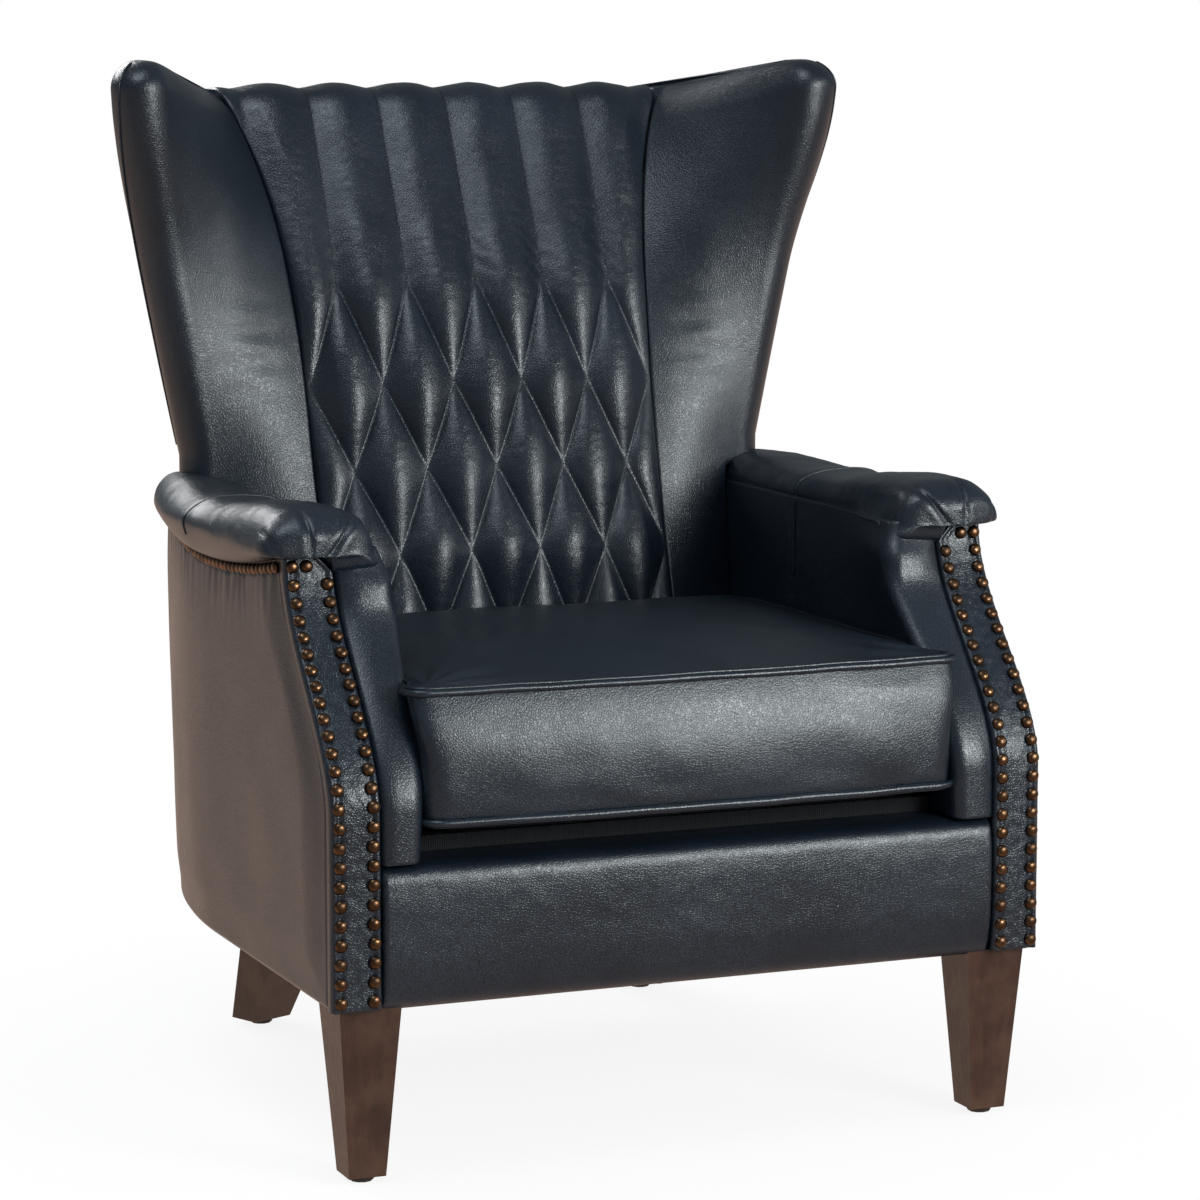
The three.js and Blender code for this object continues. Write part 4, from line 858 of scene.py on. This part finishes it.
def arm_pad():
    """The inner face of an arm, from its nose beside the cushion to the wing."""
    rings = []
    nose_in = through([(305, 276), (396, 271.5), (438, 270), (480, 264), (522, 259), (549, 259), (573, 266), (592, 275)])
    for z in np.linspace(305.6, 584, 110):
        front = float(front_y(z)) + 0.4
        swell = 275 - float(nose_in(z))
        inner_x = lambda y: 275 + 5 * np.clip((y - front) / 440, 0, 1) - swell * np.exp(-((np.maximum(0, y - front) / 75) ** 2))
        edge = 316.4 + max(0.0, min(z, 579.0) - 565)
        x_front = float(inner_x(front))
        radius = 15.0
        push = 7 * math.exp(-(((z - 550) / 17) ** 2))
        head = [[edge, front + 11, z], [edge, front + 4, z], [312, front + 0.6 - 0.5 * push, z]]
        head.append([lerp(x_front + radius, 312, 0.5), front - push, z])
        for a in np.linspace(0, math.pi / 2, 12):
            ahead = front + radius * (1 - math.cos(a)) - push * math.cos(a)
            head.append([x_front + radius * (1 - math.sin(a)), ahead, z])
        ys = np.linspace(front + radius, 190, 72)[1:]
        for y in ys:
            x = float(inner_x(y))
            point = (x, y, z)
            depth = ease((585 - z) / 40)
            x -= 1.4 * noise.noise((y / 60, z / 60, 3.0)) * float(depth)
            x += 2.2 * math.exp(-abs(y - 2) / 2.6) - 1.0 * math.exp(-(((y - 2) / 22) ** 2))
            head.append([x, y, z])
        for y in np.linspace(190, front + 30, 16):
            head.append([min(316.4, max(float(side_x(y)) - 8.6 - 30, 286)), y, z])
        rings.append(head)
    return loft("right_arm_pad_leather", rings)


def facing_path(count=150):
    z = np.linspace(BODY_BOTTOM, ARM_LINE, 800)
    y = front_y(z)
    steps = np.hypot(np.diff(z), np.diff(y))
    at = np.concatenate([[0], np.cumsum(steps)])
    s = np.linspace(0, at[-1], count)
    yy, zz = np.interp(s, at, y), np.interp(s, at, z)
    ty, tz = np.gradient(yy), np.gradient(zz)
    length = np.hypot(ty, tz)
    return yy, zz, -tz / length, ty / length, s


def arm_facing():
    yy, zz, ny, nz, s = facing_path(190)
    rings = []
    for y, z, oy, oz, run in zip(yy, zz, ny, nz, s):
        inner = FACING_INNER + 0.3 + max(0.0, z - 565)
        outer = BODY_HALF
        width = outer - inner
        ring = []
        for t in np.linspace(0, 1, 40):
            x = lerp(inner, outer, t)
            edge = min(t, 1 - t) * width
            drop = float(round_off(edge, 4.5))
            lift = 1.1 * math.exp(-(((edge - 4.5) / 2.8) ** 2))
            rough = 0.55 * noise.noise((x / 9, run / 9, 2.0)) + 0.3 * noise.noise((x / 3.8, run / 3.8, 7.0))
            off = -drop + lift * 0.8 - 1.4 * math.exp(-(((edge - 9) / 3.5) ** 2)) + rough * min(1.0, edge / 4) - 0.9
            ring.append([x, y + oy * off, z + oz * off])
        back = [[x, y - oy * 13.4, z - oz * 13.4] for x in np.linspace(outer, inner, 6)]
        rings.append(ring + [[p[0], p[1], min(p[2], ARM_LINE)] for p in back])
    return loft("right_arm_facing_leather", rings)


def outer_arm():
    rings = []
    for z in np.linspace(BODY_BOTTOM + 0.2, ARM_LINE - 0.2, 110):
        start = float(front_y(z)) + 14.4
        end = float(back_y(z)) - 8.5
        ys = np.linspace(start, end, 150)
        x = side_x(ys)
        edge = np.minimum(np.minimum(ys - start, end - ys), (z - BODY_BOTTOM) * 1.2)
        height = (z - BODY_BOTTOM) / 408
        swell = 2.5 + 3.5 * math.sin(math.pi * min(1, height)) + 5.5 * ease((ys - 120) / 130) * ease((z - 300) / 230) * (1 - ease((ys - 285) / 25) * 0.4)
        swell = swell * ease(edge / 60)
        pts = np.stack([x, ys, np.full_like(ys, z)], -1)
        swell += 1.2 * wobble(pts, 80.0, 11.0) * ease(edge / 30)
        below = np.maximum(0, row_height(ys) - z)
        near_row = np.exp(-((below / 34) ** 2)) * np.clip(0.75 + wobble(pts * [1, 1, 0.2], 24.0, 9.0), 0.2, 1.3)
        swell += 0.8 * near_row * np.sin(ys / 3.2 + 3.0 * wobble(pts * [1, 1, 0.5], 26.0, 5.0)) * (z < row_height(ys))
        swell -= np.where(z > row_height(ys) - 3, 2.0, 0)
        swell -= round_off(edge, 4.0)
        outer = np.stack([x + swell - 1.2, ys, np.full_like(ys, z)], -1)
        back = [[float(side_x(y)) - 8, y, z] for y in np.linspace(end, start, 14)]
        rings.append(np.vstack([outer, back]))
    return loft("right_outer_arm_leather", rings)


arm_line = arm_seam()
for ob in (arm_line, mirrored(arm_line, "left_arm_seam")):
    settle(ob, "chair", WELT, "leather")
for make, part, slot_leather, fill in (
    (arm_roll, "arm_roll", LEATHER, 0.8),
    (arm_pad, "arm_pad", LEATHER, 0.8),
    (arm_facing, "arm_facing", PANEL, 0.7),
    (outer_arm, "outer_arm", PANEL, 0.7),
):
    ob = make()
    twin = mirrored(ob, ob.name.replace("right", "left"))
    settle(ob, "chair", slot_leather, "leather", f"right_{part}", fill=fill)
    settle(twin, "chair", slot_leather, "leather", f"left_{part}", fill=fill)


# ---------------------------------------------------------------- front rail and outer back
def front_rail_cover():
    profile = spline(
        [(-369, 169.0), (-376, 179), (-380.5, 205), (-382, 240), (-382.2, 275), (-380, 292), (-372, 301), (-352, 304.8), (-330, 305), (-322, 304), (-322, 288), (-340, 286), (-364, 282), (-366, 240), (-365.5, 173.4), (-366.5, 169.0)],
        150,
    )
    rings = []
    for x in np.linspace(-316.4, 316.4, 220):
        ring = np.stack([np.full(150, x), profile[:, 0], profile[:, 1]], -1)
        edge = 316.4 - abs(x)
        front = ease((-362 - ring[:, 1]) / 8)
        swell = 0.9 * wobble(ring, 70.0, 21.0) + 0.35 * wobble(ring, 18.0, 23.0)
        swell += -1.2 * np.exp(-(((ring[:, 2] - 285) / 9) ** 2)) * 0.3
        ring[:, 1] -= front * (swell - float(round_off(edge, 4.0)))
        rings.append(ring)
    return loft("front_rail_leather", rings)


def outer_back():
    rings = []
    for z in np.linspace(BODY_BOTTOM + 0.4, 1003, 120):
        half = float(back_half(z)) - 0.4
        xs = np.linspace(-half, half, 120)
        edge = np.minimum(np.minimum(half - np.abs(xs), z - BODY_BOTTOM), 1003.5 - z)
        pts = np.stack([xs, np.zeros_like(xs), np.full_like(xs, z)], -1)
        swell = 3.0 * ease(edge / 120) + 0.9 * wobble(pts, 90.0, 31.0) * ease(edge / 40) - round_off(edge, 5.0)
        outer = np.stack([xs, back_y(z) - 1.5 + swell * 0.6, np.full_like(xs, z)], -1)
        inner = [[x, back_y(z) - 8, z] for x in np.linspace(half, -half, 12)]
        rings.append(np.vstack([outer, inner]))
    return loft("outer_back_leather", rings)


settle(front_rail_cover(), "chair", LEATHER, "leather", "front_rail_cover", fill=0.7)
settle(outer_back(), "chair", PANEL, "leather", "outer_back", fill=0.6)

# ---------------------------------------------------------------- seat cushion
CUSHION_HALF = 273.5


def cushion_rear(z):
    level = np.clip(z, BOTTOM_WELT + 5.4, TOP_WELT - 5.4)
    return pad_face(level) - bow(level) - 18 - 3


def cushion_outline(z, inset, count=420):
    """The cushion's outline in plan at a height, drawn in by an inset."""
    half = CUSHION_HALF - inset
    rear = float(cushion_rear(z)) - inset
    front = -383 + inset + 16 * float(np.clip((z - BOTTOM_WELT) / 120, 0, 1)) ** 3
    corner = max(34 - inset, 9)
    nose = max(20 - inset, 6)
    pts = []

    def arc(cx, cy, start, radius):
        for a in np.linspace(0, math.pi / 2, 9):
            pts.append((cx + radius * math.cos(start + a), cy + radius * math.sin(start + a)))

    arc(half - corner, rear - corner, 0, corner)
    arc(corner - half, rear - corner, math.pi / 2, corner)
    arc(nose - half, front + nose, math.pi, nose)
    for t in np.linspace(0, 1, 12)[1:-1]:
        pts.append((lerp(nose - half, half - nose, t), front - 8 * math.sin(math.pi * t)))
    arc(half - nose, front + nose, -math.pi / 2, nose)
    loop = np.array(pts + pts[:1])
    steps = np.linalg.norm(np.diff(loop, axis=0), axis=1)
    at = np.concatenate([[0], np.cumsum(steps)])
    s = np.linspace(0, at[-1], count, endpoint=False)
    x, y = np.interp(s, at, loop[:, 0]), np.interp(s, at, loop[:, 1])
    # Ahead of the arms the cushion spreads sideways
    spread = 11 * ease((float(front_y(z)) - y) / 34)
    x = x + np.sign(x) * spread * ease((np.abs(x) - 150) / 110)
    return np.stack([x, y], -1)


def evaluated(ob):
    graph = bpy.context.evaluated_depsgraph_get()
    graph.update()
    return bpy.data.meshes.new_from_object(ob.evaluated_get(graph))


def points_of(mesh):
    co = np.empty(len(mesh.vertices) * 3)
    mesh.vertices.foreach_get("co", co)
    return co.reshape(-1, 3) * 1000


def put_points(mesh, points):
    mesh.vertices.foreach_set("co", (points * 0.001).ravel())
    mesh.update()


def remeshed(ob, voxel):
    mod = ob.modifiers.new("voxels", "REMESH")
    mod.mode = "VOXEL"
    mod.voxel_size = voxel
    me = evaluated(ob)
    ob.modifiers.clear()
    ob.data = me
    me.polygons.foreach_set("use_smooth", [True] * len(me.polygons))
    return ob


def inflate(ob, pinned, pressure=2.0, shrink=0.0, frames=20, cap=10.0):
    """Cloth under pressure, its seams pinned; each point then moves at most cap mm."""
    rest = points_of(ob.data)
    group = ob.vertex_groups.new(name="seams")
    group.add([int(i) for i in np.nonzero(pinned)[0]], 1.0, "REPLACE")
    mod = ob.modifiers.new("cloth", "CLOTH")
    s = mod.settings
    s.quality = 5
    s.mass = 0.2
    s.tension_stiffness = s.compression_stiffness = 15
    s.shear_stiffness = 8
    s.bending_stiffness = 0.6
    s.use_pressure = True
    s.uniform_pressure_force = pressure
    s.shrink_min = shrink
    s.vertex_group_mass = "seams"
    s.effector_weights.gravity = 0.0
    mod.point_cache.frame_end = frames
    for i in range(1, frames + 1):
        bpy.context.scene.frame_set(i)
    me = evaluated(ob)
    moved = points_of(me)
    ob.modifiers.clear()
    step = moved - rest
    size = np.linalg.norm(step, axis=1)[:, None]
    put_points(me, rest + step * np.minimum(1, cap / np.maximum(size, 1e-6)))
    ob.data = me
    bpy.context.scene.frame_set(1)
    return ob


def relaxed(ob, times):
    """Smooths the leather between its seams."""
    mod = ob.modifiers.new("relax", "SMOOTH")
    mod.iterations = times
    mod.factor = 0.5
    mod.vertex_group = "seams"
    mod.invert_vertex_group = True
    me = evaluated(ob)
    ob.modifiers.clear()
    ob.data = me
    return ob


def refined(ob):
    mod = ob.modifiers.new("subdivision", "SUBSURF")
    mod.levels = 1
    me = evaluated(ob)
    ob.modifiers.clear()
    ob.data = me
    me.polygons.foreach_set("use_smooth", [True] * len(me.polygons))
    return ob


def seat_cushion():
    levels = [(321.5, 78), (326.5, 40), (334, 16), (BOTTOM_WELT - 3, 3.5), (BOTTOM_WELT, 0.5), (BOTTOM_WELT + 3, 2.5)]
    middle, half = (BOTTOM_WELT + TOP_WELT) / 2, (TOP_WELT - BOTTOM_WELT) / 2
    levels += [(z, 2.0 - 3.5 * (1 - ((z - middle) / half) ** 4)) for z in np.linspace(351, 452, 13)]
    levels += [(TOP_WELT - 3, 2.5), (TOP_WELT, 0.5), (TOP_WELT + 3, 3.5), (468, 17), (474.5, 42), (480.5, 80), (484.5, 125), (486.5, 180)]
    rings = []
    for z, inset in levels:
        outline = cushion_outline(z, inset)
        rings.append(np.column_stack([outline, np.full(len(outline), z)]))
    ob = remeshed(loft("seat_cushion_leather", rings), 0.006)
    co = points_of(ob.data)
    pinned = np.zeros(len(co), bool)
    for level in (BOTTOM_WELT, TOP_WELT):
        line = cushion_outline(level, 1.0)
        close = np.abs(co[:, 2] - level) < 4.5
        index = np.nonzero(close)[0]
        gaps = np.linalg.norm(co[index, None, :2] - line[None], axis=2).min(1)
        pinned[index[gaps < 6.0]] = True
    pinned |= (co[:, 2] < 327) & (np.abs(co[:, 0]) < 200)
    inflate(ob, pinned)
    relaxed(ob, 8)
    refined(ob)
    co = points_of(ob.data)
    x, y, z = co.T
    # Soft wrinkles: slanting ones on the front border, radial ones at its corners
    border = ease((z - 350) / 20) * ease((452 - z) / 16)
    ahead = ease((-355 - y) / 15)
    slant = np.sin((x * 0.72 + z * 1.15) / 17 + 2.4 * wobble(co, 70.0, 41.0))
    mask = np.clip(wobble(co, 95.0, 44.0) + 0.35, 0, 1)
    y = y - ahead * border * (0.8 * slant * mask + 0.8 * wobble(co, 55.0, 47.0))
    top = ease((z - 462) / 6)
    for corner_x, strength in ((-262, 1.0), (268, 0.6)):
        dx, dy = x - corner_x, y + 352
        away = np.hypot(dx, dy)
        spokes = np.sin(np.arctan2(dy, dx) * 13 + 0.02 * away)
        z = z + top * strength * 1.3 * spokes * np.exp(-((away - 45) / 38) ** 2)
    z = z + top * (1.6 * wobble(co, 120.0, 51.0) + 0.5 * wobble(co, 40.0, 53.0))
    # It stays on the deck, between the arms and ahead of the back
    z = np.maximum(z, 319.9)
    reach = 273.8 + 15 * ease((front_y(z) - y - 2) / 22)
    x = np.clip(x, -reach, reach)
    y = np.minimum(y, cushion_rear(z) + 1.0)
    put_points(ob.data, np.stack([x, y, z], -1))
    return ob


def welt(name, level, side):
    """Round piping with a flat stitched edge beside it, round the cushion."""
    outline = cushion_outline(level, -0.6, 520)
    sway = 0.9 * wobble(np.column_stack([outline, np.full(len(outline), level)]), 60.0, 61.0)
    line = np.column_stack([outline, level + sway])
    edge_outline = cushion_outline(level, 4.2, 520)
    lip = np.column_stack([edge_outline, level + side * 3.6 + sway])
    cord = tube(name, line, 3.5, 12, True)
    fold = tube(name + "_fold", lip, 2.1, 8, True)
    seam = np.column_stack([cushion_outline(level, 5.6, 520), level + side * 5.4 + sway])
    outs = np.tile([0.0, 0.0, float(side)], (len(seam), 1))
    outs[:, :2] = (seam[:, :2] - seam[:, :2].mean(0)) / 400
    return cord, fold, (seam, outs)


cushion = seat_cushion()
settle(cushion, "seat_cushion", LEATHER, "leather", "seat_cushion", fill=0.85)
welt_seams = []
for name, level, side in (("cushion_top_piping", TOP_WELT, 1), ("cushion_bottom_piping", BOTTOM_WELT, -1)):
    cord_piece, fold_piece, seam = welt(name + "_leather", level, side)
    settle(cord_piece, "seat_cushion", WELT, "piping", name)
    settle(fold_piece, "seat_cushion", WELT, "piping")
    welt_seams.append(seam)
settle(stitched("cushion_stitches", welt_seams), "seat_cushion", THREAD, "leather")


# ---------------------------------------------------------------- nails
HEAD = [(0.0, 1.0), (0.3, 0.965), (0.55, 0.86), (0.76, 0.66), (0.9, 0.42), (0.98, 0.2), (1.0, 0.06), (0.97, -0.15)]


def nail_heads(name, spots):
    """Domed heads at (centre, outward, along, radius, height)."""
    verts, faces = [], []
    sides = 16
    for centre, out, along, radius, height in spots:
        c, o, t = (np.array(v, float) for v in (centre, out, along))
        o /= np.linalg.norm(o)
        t = t - o * (t @ o)
        t /= np.linalg.norm(t)
        w = np.cross(o, t)
        first = len(verts)
        verts.append(c + o * height)
        for share, up in HEAD[1:]:
            for k in range(sides):
                a = 2 * math.pi * k / sides
                verts.append(c + (t * math.cos(a) + w * math.sin(a)) * radius * share + o * height * up)
        for k in range(sides):
            faces.append((first, first + 1 + k, first + 1 + (k + 1) % sides))
        for r in range(len(HEAD) - 2):
            for k in range(sides):
                a = first + 1 + r * sides
                d = (k + 1) % sides
                faces.append((a + k, a + sides + k, a + sides + d, a + d))
        last = first + 1 + (len(HEAD) - 2) * sides
        faces.append(tuple(range(last, last + sides)))
    return turn_out(make_mesh(name, verts, faces))


def facing_nail_spots():
    yy, zz, ny, nz, s = facing_path(2000)
    straight = 182.0
    length = s[-1]
    runs = [straight / 10 * (i + 0.5) for i in range(10)]
    runs += [straight + (length - straight) / 15 * (i + 0.5) for i in range(15)]
    spots = []

    def add(x, run, radius=6.25):
        y, z, oy, oz = (np.interp(run, s, v) for v in (yy, zz, ny, nz))
        jig = random.uniform(-0.5, 0.5)
        spots.append(((x + jig, y + oy * 0.4, z + oz * 0.4), (random.uniform(-0.05, 0.05), oy, oz), (1, 0, 0), radius, 4.2))

    for run in runs:
        add(358.5, run)
    for run in runs[:-1]:
        add(325.5, run)
    add(344.0, runs[-1])
    return spots


def roll_nail_spots():
    spots = []
    y = -227.0
    while y < 338:
        slope = float(side_x(y + 5) - side_x(y - 5)) / 10
        centre = (float(side_x(y)) + 0.5, y, float(row_height(y)))
        spots.append((centre, (1.0, -slope, random.uniform(-0.05, 0.05)), (0, 1, 0), 6.0, 3.8))
        y += 12.6
    return spots


for make, part in ((facing_nail_spots, "facing_nails"), (roll_nail_spots, "roll_nails")):
    ob = nail_heads(f"right_{part}_heads", make())
    twin = mirrored(ob, f"left_{part}_heads")
    settle(ob, "chair", NAIL, "nail_metal", f"right_{part}")
    settle(twin, "chair", NAIL, "nail_metal", f"left_{part}")


# ---------------------------------------------------------------- camera, light and floor
scene = bpy.context.scene
camera_data = bpy.data.cameras.new("camera")
camera_data.sensor_width = 36.0
camera_data.lens = 120.74
camera_data.clip_end = 60.0
camera = bpy.data.objects.new("camera", camera_data)
scene.collection.objects.link(camera)
camera.location = (-1.5233, -3.8106, 1.0531)
aim = Vector((0.05286, -0.010, 0.48669)) - camera.location
camera.rotation_euler = aim.to_track_quat("-Z", "Y").to_euler()
scene.camera = camera
scene.view_settings.view_transform = "Standard"


def area_light(name, place, target, size, power, color=(1.0, 1.0, 1.0)):
    data = bpy.data.lights.new(name, "AREA")
    data.shape = "ELLIPSE"
    data.size, data.size_y = size
    data.energy = power
    data.color = color
    ob = bpy.data.objects.new(name, data)
    scene.collection.objects.link(ob)
    ob.location = place
    ob.rotation_euler = (Vector(target) - Vector(place)).to_track_quat("-Z", "Y").to_euler()
    return ob


area_light("key", (1.25, -2.75, 1.24), (0.0, 0.0, 0.62), (1.4, 1.15), 72, (1.0, 0.975, 0.92))
area_light("right", (2.7, -1.5, 1.6), (0.0, 0.1, 0.7), (0.5, 1.1), 9, (1.0, 0.98, 0.94))
area_light("top", (-0.9, -0.75, 3.0), (0.0, 0.0, 0.7), (1.2, 1.2), 21, (0.93, 0.97, 1.0))
area_light("rim", (-0.9, 2.6, 2.3), (-0.1, 0.0, 0.7), (2.2, 0.9), 52, (1.0, 0.99, 0.98))

world = bpy.data.worlds.new("studio")
scene.world = world
world.use_nodes = True
tree = world.node_tree
background = tree.nodes["Background"]
paths = tree.nodes.new("ShaderNodeLightPath")
seen = tree.nodes.new("ShaderNodeMath")
seen.operation = "MAXIMUM"
tree.links.new(paths.outputs["Is Camera Ray"], seen.inputs[0])
tree.links.new(paths.outputs["Is Transmission Ray"], seen.inputs[1])
level = tree.nodes.new("ShaderNodeMix")
level.data_type = "FLOAT"
tree.links.new(seen.outputs[0], level.inputs["Factor"])
glossy = tree.nodes.new("ShaderNodeMix")
glossy.data_type = "FLOAT"
tree.links.new(paths.outputs["Is Glossy Ray"], glossy.inputs["Factor"])
glossy.inputs["A"].default_value = 0.60
glossy.inputs["B"].default_value = 0.20
tree.links.new(glossy.outputs["Result"], level.inputs["A"])
level.inputs["B"].default_value = 1.0
tree.links.new(level.outputs["Result"], background.inputs["Strength"])
hue = tree.nodes.new("ShaderNodeMix")
hue.data_type = "RGBA"
hue.inputs["A"].default_value = (0.90, 0.96, 1.0, 1.0)
hue.inputs["B"].default_value = (1.0, 1.0, 1.0, 1.0)
tree.links.new(seen.outputs[0], hue.inputs["Factor"])
tree.links.new(hue.outputs["Result"], background.inputs["Color"])


def floor():
    n = Nodes("floor_white_painted_reflection")
    n.bsdf.inputs["Base Color"].default_value = (0.86, 0.86, 0.86, 1.0)
    n.bsdf.inputs["Roughness"].default_value = 0.9
    paths = n.add("ShaderNodeLightPath")
    glow = n.add("ShaderNodeEmission")
    glow.inputs["Color"].default_value = (1.0, 1.0, 1.0, 1.0)
    glow.inputs["Strength"].default_value = 1.0
    # Painted reflection: for glossy rays the floor glows a warm brown, stronger towards the back, so that the leather's
    # sides show a warm reflection; the floor is no lamp
    painted_reflection_glow = n.add("ShaderNodeEmission")
    painted_reflection_glow.inputs["Color"].default_value = (0.72, 0.52, 0.42, 1.0)
    mix = n.add("ShaderNodeMixShader")
    away = n.add("ShaderNodeVectorMath", _operation="LENGTH", Vector=n.place).outputs["Value"]
    depth = n.add("ShaderNodeSeparateXYZ", Vector=n.place).outputs["Y"]
    n.feed(painted_reflection_glow.inputs["Strength"], n.remap(depth, -0.9, -0.1, 0.45, 1.0))
    n.tree.links.new(n.math("MULTIPLY", paths.outputs["Is Camera Ray"], n.remap(away, 0.45, 0.9, 0.88, 1.0)), mix.inputs[0])
    n.tree.links.new(n.bsdf.outputs[0], mix.inputs[1])
    n.tree.links.new(glow.outputs[0], mix.inputs[2])
    second = n.add("ShaderNodeMixShader")
    n.tree.links.new(paths.outputs["Is Glossy Ray"], second.inputs[0])
    n.tree.links.new(mix.outputs[0], second.inputs[1])
    n.tree.links.new(painted_reflection_glow.outputs[0], second.inputs[2])
    n.tree.links.new(second.outputs[0], n.tree.nodes["Material Output"].inputs["Surface"])
    size = 9000.0
    verts = [(-size, -size, 0), (size, -size, 0), (size, size, 0), (-size, size, 0)]
    ob = paint(make_mesh("floor", verts, [(0, 1, 2, 3)], False), n.mat)


floor()

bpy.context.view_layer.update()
import json
